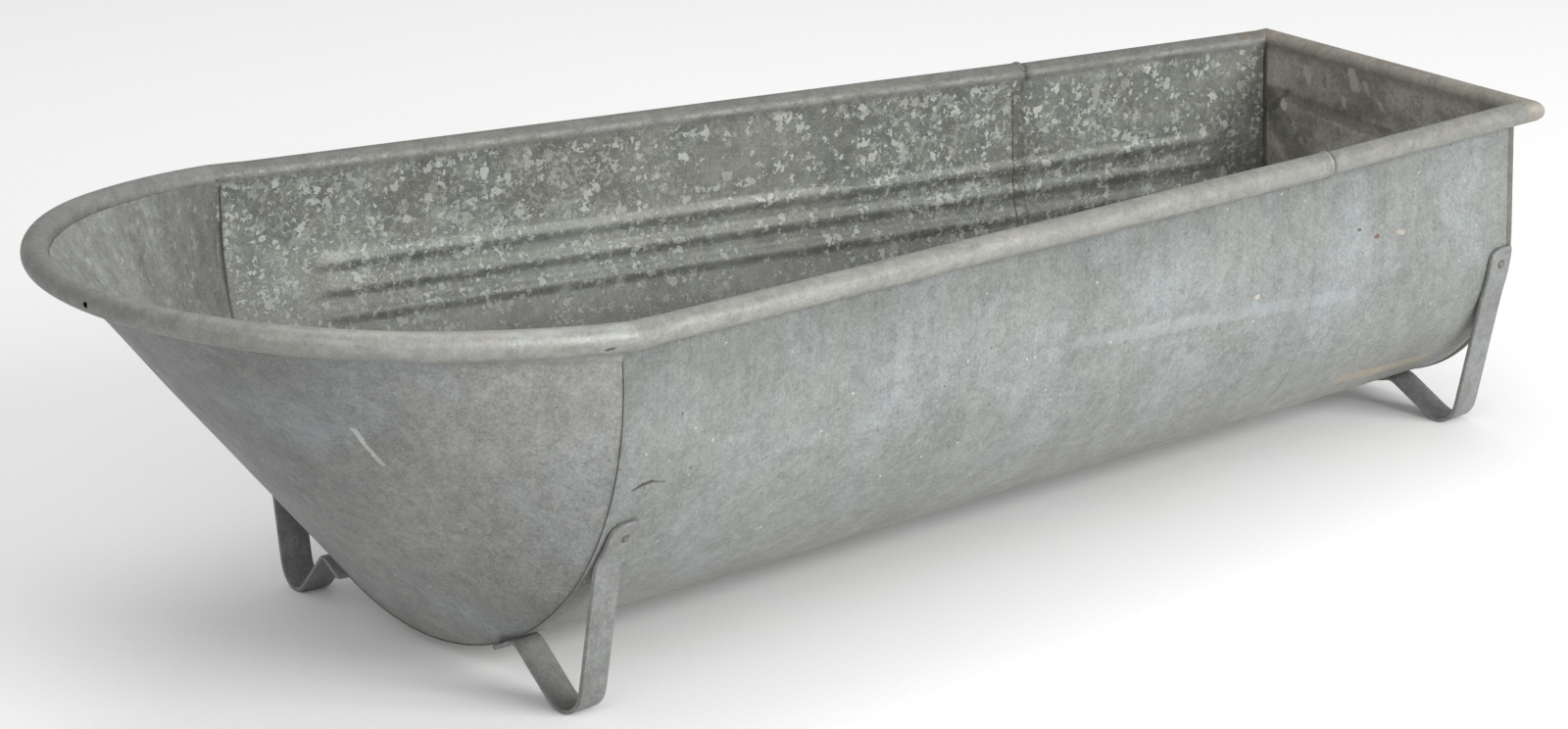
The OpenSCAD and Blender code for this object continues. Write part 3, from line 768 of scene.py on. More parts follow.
def zinc(name, light, dark, flakes=0.5, crowd=0.3, specks=0.5, pits=0.5, brown=0.3, tan=0.2, streak=0.5, blue=0.0,
         rim_tone=None, edge_dark=0.5, metal=0.3, low_shade=0.0, grain=1.0, mottle=0.35, thick=None, fades=(),
         rim_shading=(), low_tan=0.0, marks=()):
    """Weathered galvanised sheet: two greys, spangle, streaks, pale crystals, specks and stains, plus painted shade in
    crevices and, where asked, painted shade low down and painted light and shade on the rim.
    """
    s = Shade(name)
    big, mid, fine = s.noise(5.0, 4), s.noise(26.0, 5, 0.62), s.noise(330.0, 4, 0.7)
    v = s.add(s.add(s.mul(big, 0.75 - mottle), s.mul(mid, mottle)), s.mul(fine, 0.25))
    color = s.mix(s.ramp(v, 0.40, 0.60), dark, light)
    if blue:
        cold = s.ramp(s.noise(7.0, 3, 0.5, 0.4, at=s.at(shift=(3.1, 1.7, 0.4))), 0.50, 0.68)
        color = s.mix(s.mul(cold, blue), color, BLUE)
    down = s.noise(42.0, 5, 0.6, at=s.at(scale=(1, 1, 0.10)))
    hair = s.noise(230.0, 3, 0.6, at=s.at(scale=(1, 1, 0.05)))
    lines = s.add(s.ramp(down, 0.35, 0.65, 1 - 0.10 * streak, 1 + 0.07 * streak),
                  s.ramp(hair, 0.35, 0.65, -0.05 * streak, 0.05 * streak))
    _, cell = s.cells(130.0, s.bent(150.0, 0.006))
    _, cell2 = s.cells(55.0, s.bent(80.0, 0.012))
    spangle = s.add(s.ramp(cell[0], 0.0, 1.0, -0.07, 0.07), s.ramp(cell2[1], 0.0, 1.0, -0.05, 0.05))
    spangle = s.add(spangle, s.ramp(fine, 0.3, 0.7, -0.10 * grain, 0.10 * grain))
    color = s.gain(color, s.add(lines, spangle))
    zone = s.ramp(s.noise(5.5, 2.5, at=s.at(shift=(0.7, 2.2, 5.0))), 0.32, 0.62, 0.30, 1.0)
    if thick:
        zone = s.most(zone, s.ramp(s.x, thick[0], thick[1], 1.0, 0.0))
    curl = s.ramp(s.noise(75.0, 3.5, 0.6, 1.4), 0.54, 0.60)
    curl = s.mul(s.mul(curl, s.ramp(zone, 0.35, 1.0, 0.15, 0.8)), s.ramp(fine, 0.3, 0.6, 0.4, 1.0))
    f1 = flakes_of(s, 74.0, 0.014, crowd, s.ramp(zone, 0.0, 1.0, 0.25, 1.0), (0, 0, 0))
    f2 = flakes_of(s, 140.0, 0.008, crowd * 1.2, s.ramp(zone, 0.0, 1.0, 0.3, 1.0), (2, 5, 1))
    flake = s.mul(s.most(s.mul(curl, 0.5), s.most(f1, f2)), flakes)
    color = s.mix(flake, color, CHALK)
    white = dots_of(s, 80.0, 300.0, 0.003, (7, 1, 3), (0.08, 0.15), specks, 0)
    color = s.mix(s.mul(white, 0.75), color, SPECK)
    black = dots_of(s, 62.0, 260.0, 0.004, (3, 3, 8), (0.05, 0.10), pits, 1)
    color = s.mix(s.mul(black, 0.8), color, SOOT)
    dirt = s.ramp(s.noise(9.0, 6, 0.64, 0.5, at=s.at(shift=(9, 2, 7))), 0.46, 0.74)
    color = s.mix(s.mul(dirt, brown), color, BROWN)
    rusty = s.ramp(s.noise(13.0, 6, 0.66, 0.8, at=s.at(shift=(5, 8, 3))), 0.57, 0.70)
    color = s.mix(s.mul(rusty, tan), color, TAN)
    color = s.fade(color, fades)
    if rim_tone:
        warm = s.ramp(s.noise(16.0, 4, 0.6, 0.6, at=s.at(scale=(1, 1, 2.5), shift=(1, 6, 2))), 0.50, 0.68)
        top = s.mix(s.mul(warm, 0.3), rim_tone, WARM)
        soft = s.noise(60.0, 5, 0.7, at=s.at(scale=(0.3, 0.6, 1.6), shift=(4, 4, 9)))
        top = s.gain(top, s.add(s.ramp(soft, 0.3, 0.7, 0.90, 1.09), spangle))
        # The rim colour is scaled by the given rim fades: painted light and shade on the beads.
        color = s.mix(s.mul(s.rim, 0.92), color, s.fade(top, rim_shading))
    if low_tan:
        warm_low = s.mul(s.ramp(s.z, 0.06, 0.17, low_tan, 0.0), s.ramp(mid, 0.35, 0.6, 0.3, 1.0))
        color = s.mix(warm_low, color, WARM_LOW)
    # Painted shade: darker with the tone, for the shade low down inside the tub.
    if low_shade:
        color = s.gain(color, s.ramp(s.tone, 0.25, 1.0, 1.0, 1 - low_shade))
    worn = s.mul(s.edge, s.ramp(s.noise(85.0, 4, 0.7), 0.3, 0.6, 0.35, 1.0))
    color = s.mix(s.mul(worn, edge_dark), color, WORN)
    # Painted shade: the crevice channel turns seams, slits and gaps nearly black, for the shade that falls in them.
    color = s.mix(s.mul(s.crevice_shade, 0.93), color, SHADE_BLACK)
    for (p, q, width, ragged, shade, amount) in marks:
        color = s.mix(s.mul(s.stroke(p, q, width, ragged), amount), color, shade)
    rough = s.add(s.ramp(mid, 0.3, 0.7, 0.46, 0.58), s.sub(s.mul(flake, 0.15), s.mul(s.rim, 0.05)))
    normal = s.bump(s.noise(30.0, 3, 0.5), 0.0012)
    normal = s.bump(s.add(s.mul(fine, 0.7), s.mul(cell[2], 0.25)), 0.0005, normal)
    normal = s.bump(flake, 0.0003, normal)
    return s.done(color, rough, normal, metal)


COOL = (0.4, 0.425, 0.45)
SCUFF = (0.44, 0.45, 0.43)
STAIN = (0.42, 0.35, 0.25)
FOLD_SHADE = (0.06, 0.055, 0.042)
PATCH = (0.56, 0.56, 0.49)
FLECK = (0.54, 0.54, 0.47)

# Marks where the photo has them, in metres of the row frame:
# (one end, other end, width, raggedness, colour, amount).
END_X = 0.8463
BODY_MARKS = [
    ((-0.462, -0.3295, 0.249), (-0.4499, -0.329, 0.2533), 0.0022, 0.004, SOOT, 0.85),
    ((-0.4499, -0.329, 0.2533), (-0.4387, -0.3281, 0.2536), 0.0026, 0.004, SOOT, 0.85),
    ((-0.4387, -0.3281, 0.2536), (-0.4212, -0.3251, 0.2489), 0.0014, 0.004, SOOT, 0.6),
    ((-0.484, -0.3802, 0.411), (-0.4836, -0.3802, 0.42), 0.002, 0.004, SOOT, 0.7),
    ((0.63, -0.159, 0.093), (0.6949, -0.148, 0.0861), 0.012, 0.018, STAIN, 0.45),
    ((0.6949, -0.148, 0.0861), (0.77, -0.141, 0.0837), 0.011, 0.018, STAIN, 0.5),
    ((0.38, -0.131, 0.061), (0.47, -0.122, 0.06), 0.008, 0.018, (0.4, 0.34, 0.25), 0.4),
    ((0.615, -0.2275, 0.2732), (0.619, -0.227, 0.2732), 0.003, 0.004, (0.13, 0.07, 0.045), 0.9),
    ((0.586, -0.2311, 0.2875), (0.589, -0.2311, 0.287), 0.0022, 0.004, SOOT, 0.8),
    ((0.6534, -0.2228, 0.2707), (0.6617, -0.2219, 0.2678), 0.0035, 0.004, (0.45, 0.4, 0.33), 0.6),
    ((0.423, -0.2472, 0.2478), (0.426, -0.2468, 0.2476), 0.003, 0.004, (0.5, 0.44, 0.36), 0.8),
    ((0.256, -0.264, 0.333), (0.259, -0.264, 0.327), 0.0016, 0.004, SOOT, 0.7),
    ((0.005, -0.296, 0.339), (0.005, -0.296, 0.334), 0.0014, 0.004, SOOT, 0.7),
    ((0.1462, -0.2772, 0.2608), (0.5803, -0.2274, 0.2154), 0.009, 0.01, COOL, 0.22),
    ((0.2, -0.27, 0.235), (0.53, -0.233, 0.2), 0.004, 0.01, COOL, 0.18),
]
NOSE_MARKS = [
    ((-0.6879, -0.1925, 0.3262), (-0.6769, -0.192, 0.3119), 0.0045, 0.01, SCUFF, 0.75),
    ((-0.6769, -0.192, 0.3119), (-0.6654, -0.1906, 0.2963), 0.004, 0.01, SCUFF, 0.75),
    ((-0.6654, -0.1906, 0.2963), (-0.656, -0.1916, 0.284), 0.0035, 0.004, SCUFF, 0.6),
]
CORNER_STAIN = [((0.82, 0.215, 0.38), (0.86, 0.215, 0.379), 0.012, 0.018, (0.16, 0.125, 0.095), 0.5)]
RIM_MARKS = [
    ((-0.521, -0.3745, 0.4137), (-0.5141, -0.3762, 0.4143), 0.0022, 0.004, SOOT, 0.85),
]
END_MARKS = [
    # Painted shade along the two folds of the panel and just below them.
    ((END_X, 0.1925, 0.312), (END_X, -0.03, 0.296), 0.01, 0.01, (0.1, 0.094, 0.075), 0.45),
    ((END_X, 0.1925, 0.3), (END_X, 0.125, 0.22), 0.018, 0.018, FOLD_SHADE, 0.5),
    ((END_X, 0.185, 0.295), (END_X, 0.165, 0.315), 0.006, 0.01, FOLD_SHADE, 0.5),
    ((END_X, 0.1306, 0.348), (END_X, 0.127, 0.339), 0.0075, 0.018, PATCH, 0.6),
    ((END_X, 0.056, 0.359), (END_X, 0.05, 0.344), 0.0095, 0.018, PATCH, 0.6),
    ((END_X, 0.033, 0.348), (END_X, 0.03, 0.343), 0.006, 0.018, (0.52, 0.52, 0.46), 0.5),
    ((END_X, 0.1711, 0.305), (END_X, 0.17, 0.298), 0.0055, 0.01, FLECK, 0.7),
    ((END_X, 0.0714, 0.326), (END_X, 0.07, 0.318), 0.0055, 0.01, FLECK, 0.7),
    ((END_X, 0.01, 0.332), (END_X, 0.008, 0.327), 0.005, 0.01, FLECK, 0.6),
    ((0.86, 0.02, 0.379), (0.866, -0.07, 0.379), 0.01, 0.018, (0.17, 0.125, 0.09), 0.45),
    ((0.87, -0.17, 0.372), (0.865, -0.19, 0.379), 0.003, 0.01, (0.3, 0.2, 0.11), 0.5),
    *CORNER_STAIN,
]
RIVET_SEAT = STRAP_T - STRAP_SINK + RIVET_GAP


def rivet_dirt():
    """Dirt on the straps round the heads of the side rivets."""
    out = []
    for x in (FOOT_X_NOSE, BODY_L - FOOT_X_END):
        phi = phi_at(x, SIDE_RIVET_Z)
        p = place(on_cone(x, phi) + out_v(phi) * RIVET_SEAT)
        for s in (-1, 1):
            at = np.array([p[0], s * p[1], p[2]])
            out.append((at - (0, 0, 0.0002), at + (0, 0, 0.0002), 0.0062, 0.0, SOOT, 0.85))
    return out


# Painted shade on the body beads: darker on the far side and a little towards the end panel.
RIM_SHADING = (("y", -0.36, 0.32, 0.98, 0.62), ("x", 0.25, 0.6, 1.0, 0.92))
M_IN = zinc("zinc_inside", (0.230, 0.239, 0.215), (0.150, 0.157, 0.140), flakes=0.95, crowd=0.40, specks=0.7, pits=0.5,
            brown=0.2, tan=0.06, streak=0.5, rim_tone=(0.255, 0.26, 0.238), edge_dark=0.6, low_shade=0.47,
            thick=(-0.46, -0.2), fades=(("x", -0.3, 0.1, 0.91, 1.0),), rim_shading=RIM_SHADING, marks=CORNER_STAIN)
M_OUT = zinc("zinc_outside", (0.248, 0.260, 0.248), (0.215, 0.226, 0.215), flakes=0.18, crowd=0.10, specks=0.7,
             pits=2.2, brown=0.05, tan=0.06, streak=0.6, blue=0.3, edge_dark=0.45, grain=1.7, mottle=0.16,
             fades=(("z", 0.28, 0.38, 0.98, 0.74), ("x", -0.5, -0.15, 0.91, 1.0)), low_tan=0.22, marks=BODY_MARKS)
# Its x fade darkens the nose towards the tip: painted shade for the side that faces away from the light.
M_NOSE = zinc("zinc_nose", (0.246, 0.253, 0.243), (0.202, 0.208, 0.200), flakes=0.16, crowd=0.10, specks=0.2,
              pits=1.6, brown=0.05, tan=0.08, streak=0.6, blue=0.3, edge_dark=0.35, grain=1.6, mottle=0.16,
              fades=(("x", -0.80, -0.58, 0.66, 1.0),), marks=NOSE_MARKS)
M_NOSE_IN = zinc("zinc_nose_inside", (0.258, 0.265, 0.248), (0.222, 0.229, 0.214), flakes=0.5, crowd=0.12, specks=0.2,
                 pits=0.4, brown=0.12, tan=0.05, streak=1.3, edge_dark=0.6, mottle=0.2,
                 fades=(("x", -0.68, -0.52, 1.0, 0.76),))
# Painted light and shade on the nose bead: darker on the far side, lighter on its upper crest and darker on its lower
# outer side by the tone, and darker at the tip.
M_RIM = zinc("zinc_rim", (0.275, 0.28, 0.262), (0.215, 0.22, 0.205), flakes=0.2, crowd=0.15, specks=0.15,
             pits=0.6, brown=0.22, tan=0.2, streak=0.3, rim_tone=(0.262, 0.268, 0.25), edge_dark=0.4,
             rim_shading=(("y", -0.36, 0.32, 1.02, 0.66), ("tone", 0.15, 0.95, 0.84, 1.14), ("x", -0.82, -0.66, 0.86, 1.0)),
             marks=RIM_MARKS)
# The end panel's greys are set lighter than the body's: painted light for its shaded inner face, over its own browner
# tone; its rim fade paints the cross bead darker towards the far side.
M_END = zinc("zinc_end", (0.45, 0.432, 0.375), (0.265, 0.252, 0.21), flakes=0.6, crowd=0.28, specks=0.8,
             pits=1.2, brown=0.5, tan=0.15, streak=0.8, rim_tone=(0.232, 0.219, 0.19), edge_dark=0.6, mottle=0.45,
             rim_shading=(("y", -0.2, 0.15, 1.12, 0.95),), marks=END_MARKS)
M_FEET = zinc("zinc_feet", (0.287, 0.300, 0.298), (0.205, 0.213, 0.208), flakes=0.12, crowd=0.1, specks=0.1,
              pits=0.8, brown=0.42, tan=0.14, streak=0.4, edge_dark=0.6, mottle=0.25, marks=rivet_dirt())
M_RIVET = zinc("zinc_rivet", (0.27, 0.27, 0.255), (0.18, 0.178, 0.165), flakes=0.1, crowd=0.1, specks=0.1,
               pits=0.6, brown=0.4, tan=0.3, streak=0.1, edge_dark=0.95)
M_EDGE = zinc("zinc_edge", (0.20, 0.20, 0.18), (0.125, 0.125, 0.11), flakes=0.2, crowd=0.1, specks=0.1,
              pits=0.5, brown=0.4, tan=0.1, streak=0.2, edge_dark=0.6)


def floor_material():
    """Plain matt studio paper with a faint grain."""
    s = Shade("pale_floor")
    grain = s.noise(160.0, 3.0)
    color = s.mix(s.ramp(grain, 0.3, 0.7), (0.925, 0.925, 0.925), (0.94, 0.94, 0.94))
    return s.done(color, s.ramp(grain, 0.3, 0.7, 0.86, 0.94), s.bump(grain, 0.0001), 0.0)


# ---------------------------------------------------------------- pieces
xs_long = spaced((0, 9, 0.75), (9, 30, 3), (30, 90, 6), (90, 150, 4), (150, 940, 10), (940, 1000, 4))
NOSE_JOG = 5.0
swell_long = -0.45 * smooth((NOSE_JOG + 1 - xs_long) / 1.5)
b = body_sheet(
    xs_long, BEAD_R_LONG, (RIB_START, LONG_L + 30), swell_long, 11,
    ring=(LONG_L, LONG_L + RING_W), seams=(0.0, LAP_SEEN + 0.4, LONG_L),
)
b.make("long_body_sheet", [M_IN, M_OUT, M_EDGE], "galvanised_body", ["long_body_sheet"])

JOG = 4.0
xs_short = spaced(
    (LONG_L + 0.2, LONG_L + JOG + 2, 0.8), (LONG_L + JOG + 2, 1100, 8), (1100, 1250, 10), (1250, 1300, 4),
    (1300, 1325, 5), (1325, BODY_L, 1.5),
)
jog_sink = 0.7 * smooth((LONG_L + JOG - xs_short) / JOG)
xs_lap = spaced((LONG_L - LAP_W, LONG_L - LAP_W + 1, 0.5), (LONG_L - LAP_W + 1, LONG_L + 0.2, 3))
lap_sink = np.full(len(xs_lap), SHEET_T + NIP)
lap_sink[-1] = jog_sink[0]
lap_sink[-2] = SHEET_T + NIP
b = body_sheet(
    xs_short, BEAD_R_SHORT, (LONG_L - 60, BODY_L - RIB_STOP), jog_sink, 23,
    lap=(xs_lap, lap_sink), seams=(LONG_L, BODY_L),
)
b.make("short_body_sheet", [M_IN, M_OUT, M_EDGE], "galvanised_body", ["short_body_sheet"])


def nose_sheet_mesh():
    """The nose sheet: straight lines from the seam up to the rim, and the part of its lap that shows inside."""
    u = np.linspace(-1, 1, 161)
    rise = spaced((0, 0.04, 0.01), (0.04, 1, 0.024))
    laps = (LAP_SEEN, LAP_SEEN - 0.8, 2.2, 1.2)
    n_lap = len(laps)
    rows = []
    for off in (NIP + SHEET_T, NIP):
        foot, head = nose_foot(u, off), nose_head(u, off)
        up = [foot + (head - foot) * t for t in rise]
        rows.append(np.stack([nose_foot(u, off, x) for x in laps] + up))
    inner, outer = rows
    c = (inner + outer) / 2
    t = np.concatenate([np.zeros(n_lap), rise])
    fade = smooth(t / 0.12) * smooth((1 - t) / 0.12)
    w = dent(c, 5, 0.9) * fade[:, None]
    n = np.stack([-0.7 + 0 * w, np.clip(c[..., 1] / 350, -1, 1), -0.4 + 0 * w], -1)
    n /= np.linalg.norm(n, axis=-1, keepdims=True)
    inner, outer = inner + n * w[..., None], outer + n * w[..., None]
    edge = np.concatenate([np.ones(n_lap), np.exp(-rise * 90)])
    # Painted shadow: the strip of the lap that shows inside is painted black, for the shade in the gap at the lap's
    # edge.
    lap_shadow = np.zeros(len(t))
    lap_shadow[:n_lap] = (1.0, 1.0, 0.95, 0.1)
    pa = paint_of(inner.shape[:2], crevice_shade=lap_shadow[:, None], edge=edge[:, None], tone=t[:, None])
    b = Build()
    b.shell(inner, outer, mats=(0, 1, 2), paint=pa)
    return b


b = nose_sheet_mesh()
b.make("nose_sheet", [M_NOSE_IN, M_NOSE, M_EDGE], "galvanised_nose", ["nose_sheet"])


def bead_centre(s):
    """Middle line of the nose bead, s from -1 (right seam) to 1 (left seam): points, outward and up directions."""
    lt = NOSE_TIP_R * (math.pi / 2 - MEET_A)
    ls = NOSE_SIDE_R * (MEET_A - SEAM_A)
    d = np.abs(s) * (lt + ls)
    tip = d < lt
    a = np.where(tip, math.pi / 2 - d / NOSE_TIP_R, MEET_A - (d - lt) / NOSE_SIDE_R)
    cx = np.where(tip, TIP_C[0], SIDE_C[0])
    cy = np.where(tip, TIP_C[1], SIDE_C[1])
    r = np.where(tip, NOSE_TIP_R, NOSE_SIDE_R)
    c = tilt(cx - r * np.sin(a), cy + r * np.cos(a))
    out = tilt(cx - (r + 1) * np.sin(a), cy + (r + 1) * np.cos(a)) - c
    sg = np.where(s < 0, -1.0, 1.0)
    c[..., 1] *= sg
    out[..., 1] *= sg
    return c, out


NOSE_UP = np.array([math.sin(NOSE_RISE), 0.0, math.cos(NOSE_RISE)])


def nose_rim_mesh():
    b = Build()
    s = np.linspace(-1, 1, 241)
    c, out = bead_centre(s)
    a = np.linspace(0, 2 * math.pi, 41)[:-1]
    grids = []
    thin = slim(c[:, 1])[:, None, None]
    c = c + out * thin[:, 0]
    for wall in (0.0, SHEET_T):
        r = BEAD_R_NOSE - wall - thin
        g = c[:, None] + r * (np.cos(a)[None, :, None] * out[:, None] + np.sin(a)[None, :, None] * NOSE_UP)
        for k in (0, -1):
            along = np.cross(out[k], NOSE_UP)
            g[k] = g[k] - along * (g[k][:, :1] / along[0])
        grids.append(g)
    # Painted highlight and shade: 1 on the bead's upper inner crest, falling to 0 on its lower outer side.
    crest_shading = np.clip(0.5 + 0.5 * np.sin(a) - 0.25 * np.cos(a), 0, 1)
    pa = paint_of(grids[0].shape[:2], rim=1.0, tone=crest_shading[None, :])
    b.grid(grids[0], 0, flip=True, loop=True, paint=pa)
    b.grid(grids[1], 2, flip=False, loop=True, paint=pa)
    for k in (0, -1):
        e = np.stack([grids[0][k], grids[1][k]])
        b.grid(e, 2, flip=k != 0, loop=True, paint=paint_of(e.shape[:2], rim=1.0, edge=1.0))
    u = np.linspace(-1, 1, 161)[1:-1]
    sk = []
    for off, extra in ((-0.5 - SKIRT_T, 5.0), (-0.5, 0.0)):
        head, ft = nose_head(u, off), nose_foot(u, off)
        d = ft - head
        d /= np.linalg.norm(d, axis=-1, keepdims=True)
        r = BEAD_R_NOSE - 0.5 - slim(nose_head(u, 0.0)[:, 1])
        la = LIP_A + math.radians(extra)
        lip = nose_lip(u, r * math.cos(la))
        lip[..., 2] -= r * math.sin(la)
        low = head + d * SKIRT_D
        sk.append(np.stack([lip + (low - lip) * t for t in np.linspace(0, 1, 7)]))
    pa = paint_of(sk[0].shape[:2], rim=0.7, tone=0.45, edge=np.linspace(0, 1, 7)[:, None] ** 3)
    b.shell(sk[0], sk[1], mats=(0, 0, 2), paint=pa)
    return b


def cut_vent(ob):
    """Drills the vent hole into the outer side of the nose bead."""
    y = -VENT_Y
    x = float(nose_x(np.array(y), 0.0))
    c = tilt(np.array(x), np.array(-y))
    a = math.acos(y / NOSE_TIP_R)
    out = np.array([-math.sin(a), -math.cos(a), 0.0])
    way = Vector(out * math.cos(VENT_TILT) - np.array([0, 0, math.sin(VENT_TILT)]))
    side = way.orthogonal().normalized()
    top = way.cross(side)
    n = 24
    at = Vector(place(c).tolist())
    angles = [2 * math.pi * k / n for k in range(n)]
    ring = [(side * math.cos(t) + top * math.sin(t)) * VENT_R / 1000 for t in angles]
    pts = [at + way * d / 1000 + r for d in VENT_CUT for r in ring]
    faces = [tuple(reversed(range(n))), tuple(range(n, 2 * n))]
    faces += [(k, (k + 1) % n, n + (k + 1) % n, n + k) for k in range(n)]
    me = bpy.data.meshes.new("vent_cutter")
    me.from_pydata([tuple(p) for p in pts], [], faces)
    cutter = add_object("vent_cutter", me)
    mod = ob.modifiers.new("vent", "BOOLEAN")
    mod.operation, mod.solver, mod.object = "DIFFERENCE", "EXACT", cutter
    dep = bpy.context.evaluated_depsgraph_get()
    cut = bpy.data.meshes.new_from_object(ob.evaluated_get(dep))
    ob.modifiers.clear()
    old = ob.data
    ob.data = cut
    bpy.data.meshes.remove(old)
    bpy.data.objects.remove(cutter)
    bpy.data.meshes.remove(me)
    cut.name = "nose_rim"


b = nose_rim_mesh()
cut_vent(b.make("nose_rim", [M_RIM, M_RIM, M_EDGE], "galvanised_rim", ["nose_rim"]))


FOLDS = (((193.0, 311.0), (-60.0, 296.0), 3.2, 26.0), ((185.0, 318.0), (118.0, 236.0), 2.4, 20.0))


def end_panel_mesh():
    b = Build()
    x0 = np.array([BODY_L])
    _, outer, _, _ = body_side(x0, BEAD_R_SHORT, None, 0 * x0, top=False)
    prof = outer[0]
    prof = prof[prof[:, 2] < RIM_Z_END - 1.0]
    top = prof[-1] * np.array([1, 1, 0]) + np.array([0, 0, RIM_Z_END + 0.6])
    prof = np.concatenate([prof, top[None]])
    ts = np.concatenate([[-1, -0.993, -0.985, -0.975], np.linspace(-0.96, 0.96, 57), [0.975, 0.985, 0.993, 1]])
    inset = 4.0
    y = np.maximum(prof[:, 1] - inset, 0)
    z = prof[:, 2] + inset * np.clip(1 - prof[:, 1] / (HALF_W_END * 0.98), 0, 1)
    faces = []
    for x in (BODY_L, BODY_L + SHEET_T):
        g = np.stack([x + 0 * y[:, None] * ts, y[:, None] * ts, z[:, None] + 0 * ts], -1)
        faces.append(g)
    c = (faces[0] + faces[1]) / 2
    zz = smooth((c[..., 2] - 30) / 60) * smooth((RIM_Z_END - 8 - c[..., 2]) / 50)
    fade = zz * smooth((1 - np.abs(ts)) / 0.2)[None, :]
    w = 1.2 * waves(c, 31, 260.0) * fade
    for (ya, za), (yb, zb), rise, wide in FOLDS:
        d = ((c[..., 1] - ya) * (zb - za) - (c[..., 2] - za) * (yb - ya)) / math.hypot(yb - ya, zb - za)
        w = w + rise * np.exp(-np.maximum(d, 0) / wide) * np.exp(np.minimum(d, 0) / (0.3 * wide)) * fade
    for g in faces:
        g[..., 0] += w
    # Painted shadow in the slit between the panel's edges and the walls.
    joint_shadow = smooth((np.abs(c[..., 1]) - (y[:, None] - 1.4)) / 1.2) * smooth((c[..., 2] - 60) / 60)
    near_bead = smooth((c[..., 2] - RIM_Z_END + 16) / 16)
    pa = paint_of(c.shape[:2], rim=near_bead, crevice_shade=joint_shadow, tone=(c[..., 2] / RIM_Z_END))
    b.shell(faces[0], faces[1], mats=(0, 1, 2), caps=(0, 1, 1, 1), paint=pa)
    full = both_sides(prof[None])[0]
    nrm = np.zeros_like(full)
    tang = np.gradient(full, axis=0)
    nrm[:, 1], nrm[:, 2] = tang[:, 2], -tang[:, 1]
    nrm /= np.linalg.norm(nrm, axis=1)[:, None]
    sec = [
        (0.0, -4.5), (1.0, -4.5), (1.0, -0.2), (0.85, 0.55), (0.4, 1.0), (-0.4, HEM_T), (-HEM_W + 0.4, HEM_T),
        (-HEM_W, HEM_T - 0.2), (-HEM_W, 0.2), (-HEM_W + 0.2, NIP), (-0.1, NIP), (0.0, 0.0),
    ]
    g = np.stack([full + nrm * o + np.array([dx, 0, 0]) for dx, o in sec])
    line = np.array([0.2, 0.2, 0.3, 0.5, 0.5, 0.4, 0.8, 1.0, 1.0, 1.0, 0.5, 0.2])
    pa = paint_of(g.shape[:2], edge=line[:, None])
    b.grid(np.swapaxes(g, 0, 1), 2, flip=False, loop=True, paint=np.swapaxes(pa, 0, 1))
    for k in (0, -1):
        b.fan(g[:, k], 2, k == 0)
    # cross bead with mitred corners
    yc = float(bead_y(BODY_L))
    xc = BODY_L + BEAD_R_SHORT
    a = np.linspace(0, 2 * math.pi, 37)[:-1]
    tubes = []
    for r, flip in ((BEAD_R_SHORT, True), (BEAD_R_SHORT - SHEET_T, False)):
        rings = []
        ca, sa = r * np.cos(a), r * np.sin(a)
        for s in (-1, 1):
            corner = np.stack([xc + ca, s * (yc + ca), RIM_Z_END + sa], -1)
            start = np.stack([BODY_L + 0.1 + 0 * ca, s * (yc + ca), RIM_Z_END + sa], -1)
            rings.append((start, corner))
        run = [rings[0][0], rings[0][1]]
        for t in np.linspace(0, 1, 60)[1:-1]:
            run.append(rings[0][1] * (1 - t) + rings[1][1] * t)
        run += [rings[1][1], rings[1][0]]
        g = np.stack(run)
        b.grid(g, 0 if r == BEAD_R_SHORT else 2, flip=flip, loop=True, paint=paint_of(g.shape[:2], rim=1.0))
        tubes.append(g)
    for k in (0, -1):
        e = np.stack([tubes[0][k], tubes[1][k]])
        b.grid(e, 2, flip=k == 0, loop=True, paint=paint_of(e.shape[:2], rim=1.0))
    return b


b = end_panel_mesh()
b.make("end_panel", [M_END, M_OUT, M_EDGE], "galvanised_end", ["end_panel"])

FOOT_NOSE = (FOOT_X_NOSE, float(phi_at(FOOT_X_NOSE, SIDE_RIVET_Z)), SOLE_Y_NOSE, TAIL_A_NOSE)
FOOT_END = (BODY_L - FOOT_X_END, float(phi_at(BODY_L - FOOT_X_END, SIDE_RIVET_Z)), SOLE_Y_END, TAIL_A_END)
FEET = (FOOT_NOSE, FOOT_END)
for where, f in zip(("nose", "end"), FEET):
    for side, s in (("left", 1), ("right", -1)):
        foot_mesh(f"foot_{where}_{side}", f, s, [M_FEET])


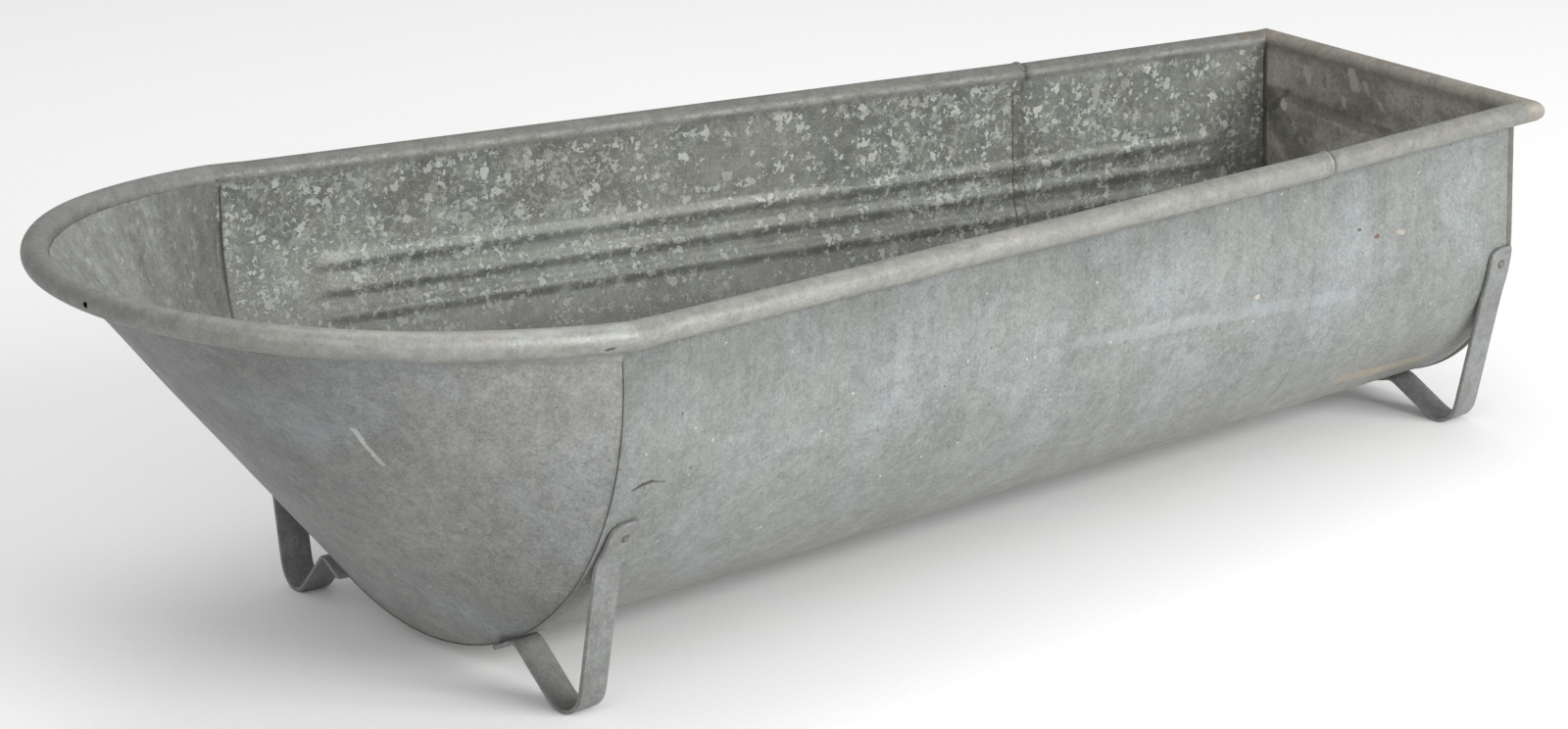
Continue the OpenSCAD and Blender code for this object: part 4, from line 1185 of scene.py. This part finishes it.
def rivet_mesh(b, f, phi, s):
    """A flat hammered rivet: low head with a worn rim outside, its shank, and the shut head inside the tub."""
    x, seat = f[0], RIVET_SEAT
    prof = [
        (0.0, seat + RIVET_H), (1.2, seat + 0.97 * RIVET_H), (2.2, seat + 0.86 * RIVET_H), (3.0, seat + 0.62 * RIVET_H),
        (3.35, seat + 0.36 * RIVET_H), (3.5, seat + 0.08), (3.3, seat), (2.25, seat - 0.02), (2.25, -SHEET_T - 0.1),
        (3.2, -SHEET_T - 0.1), (3.5, -SHEET_T - 0.3), (3.45, -SHEET_T - 0.75), (3.0, -SHEET_T - 1.05), (1.5, -SHEET_T - 1.1),
        (0.0, -SHEET_T - 1.1),
    ]
    base = on_cone(np.array(x), np.array(phi))
    n = out_v(np.array(phi))
    u = np.cross(n, [0.0, 1.0, 0.0])
    u /= np.linalg.norm(u)
    v = np.cross(n, u)
    a = np.linspace(0, 2 * math.pi, 25)[:-1]
    wobble = (1 + 0.03 * np.sin(3 * a + phi + x))[:, None]
    spoke = np.cos(a)[:, None] * u + np.sin(a)[:, None] * v
    g = np.array([base + n * h + r * wobble * spoke for r, h in prof])
    g[..., 1] *= s
    edge = np.array([0.1, 0.1, 0.5, 1, 1, 1, 1, 1, 1, 1, 0.9, 0.6, 0.3, 0.1, 0.1])
    b.grid(g, 0, flip=s < 0, loop=True, paint=paint_of(g.shape[:2], edge=edge[:, None]))


for name, low in (("side_rivets", False), ("belly_rivets", True)):
    b = Build()
    for f in FEET:
        tail = math.radians(f[3]) - TAIL_RIVET_L / float(half_w(f[0]))
        for s in (1, -1):
            rivet_mesh(b, f, tail if low else f[1], s)
    b.make(name, [M_RIVET], "rivets", [name], merge=1e-4, sharp=60)


# ---------------------------------------------------------------- floor, light, camera
FLOOR_HALF = 30.0


def floor():
    me = bpy.data.meshes.new("floor")
    h = FLOOR_HALF
    me.from_pydata([(-h, -h, 0), (h, -h, 0), (h, h, 0), (-h, h, 0)], [], [(0, 1, 2, 3)])
    me.materials.append(floor_material())
    add_object("floor", me)


def area(name, at, aim, size, power, color=(1, 1, 1)):
    light = bpy.data.lights.new(name, "AREA")
    light.shape = "RECTANGLE"
    light.size, light.size_y = size
    light.energy = power
    light.color = color
    ob = add_object(name, light)
    ob.location = at
    ob.rotation_mode = "QUATERNION"
    ob.rotation_quaternion = (Vector(aim) - Vector(at)).to_track_quat("-Z", "Y")


floor()
area("key_light", (1.9, -5.8, 2.6), (0.0, 0.0, 0.2), (4.0, 2.6), 400)
area("fill_light", (-4.2, -2.4, 2.6), (-0.2, 0.0, 0.25), (3.0, 2.4), 60)
area("top_light", (0.4, 0.6, 4.6), (0.0, 0.0, 0.0), (4.0, 3.0), 60)

world = bpy.data.worlds.new("studio")
world.use_nodes = True
world.node_tree.nodes["Background"].inputs["Color"].default_value = (1, 1, 1, 1)
world.node_tree.nodes["Background"].inputs["Strength"].default_value = 0.55
bpy.context.scene.world = world
bpy.context.scene.view_settings.view_transform = "Standard"

CAM_AT = Vector((-3.1456 - MID_X / 1000, -4.6433, 2.0621))
CAM_LOOK = Vector((0.58575882, 0.75260323, -0.30079059))
CAM_ROLL = -0.0169
CAM_LENS = 135.18
cam = bpy.data.cameras.new("camera")
cam.sensor_fit = "HORIZONTAL"
cam.sensor_width = 36.0
cam.lens = CAM_LENS
cam_ob = add_object("camera", cam)
right = CAM_LOOK.cross(Vector((0, 0, 1))).normalized()
up = right.cross(CAM_LOOK)
r2 = math.cos(CAM_ROLL) * right + math.sin(CAM_ROLL) * up
u2 = -math.sin(CAM_ROLL) * right + math.cos(CAM_ROLL) * up
turn = Matrix((r2, u2, -CAM_LOOK)).transposed().to_4x4()
turn.translation = CAM_AT
cam_ob.matrix_world = turn
bpy.context.scene.camera = cam_ob
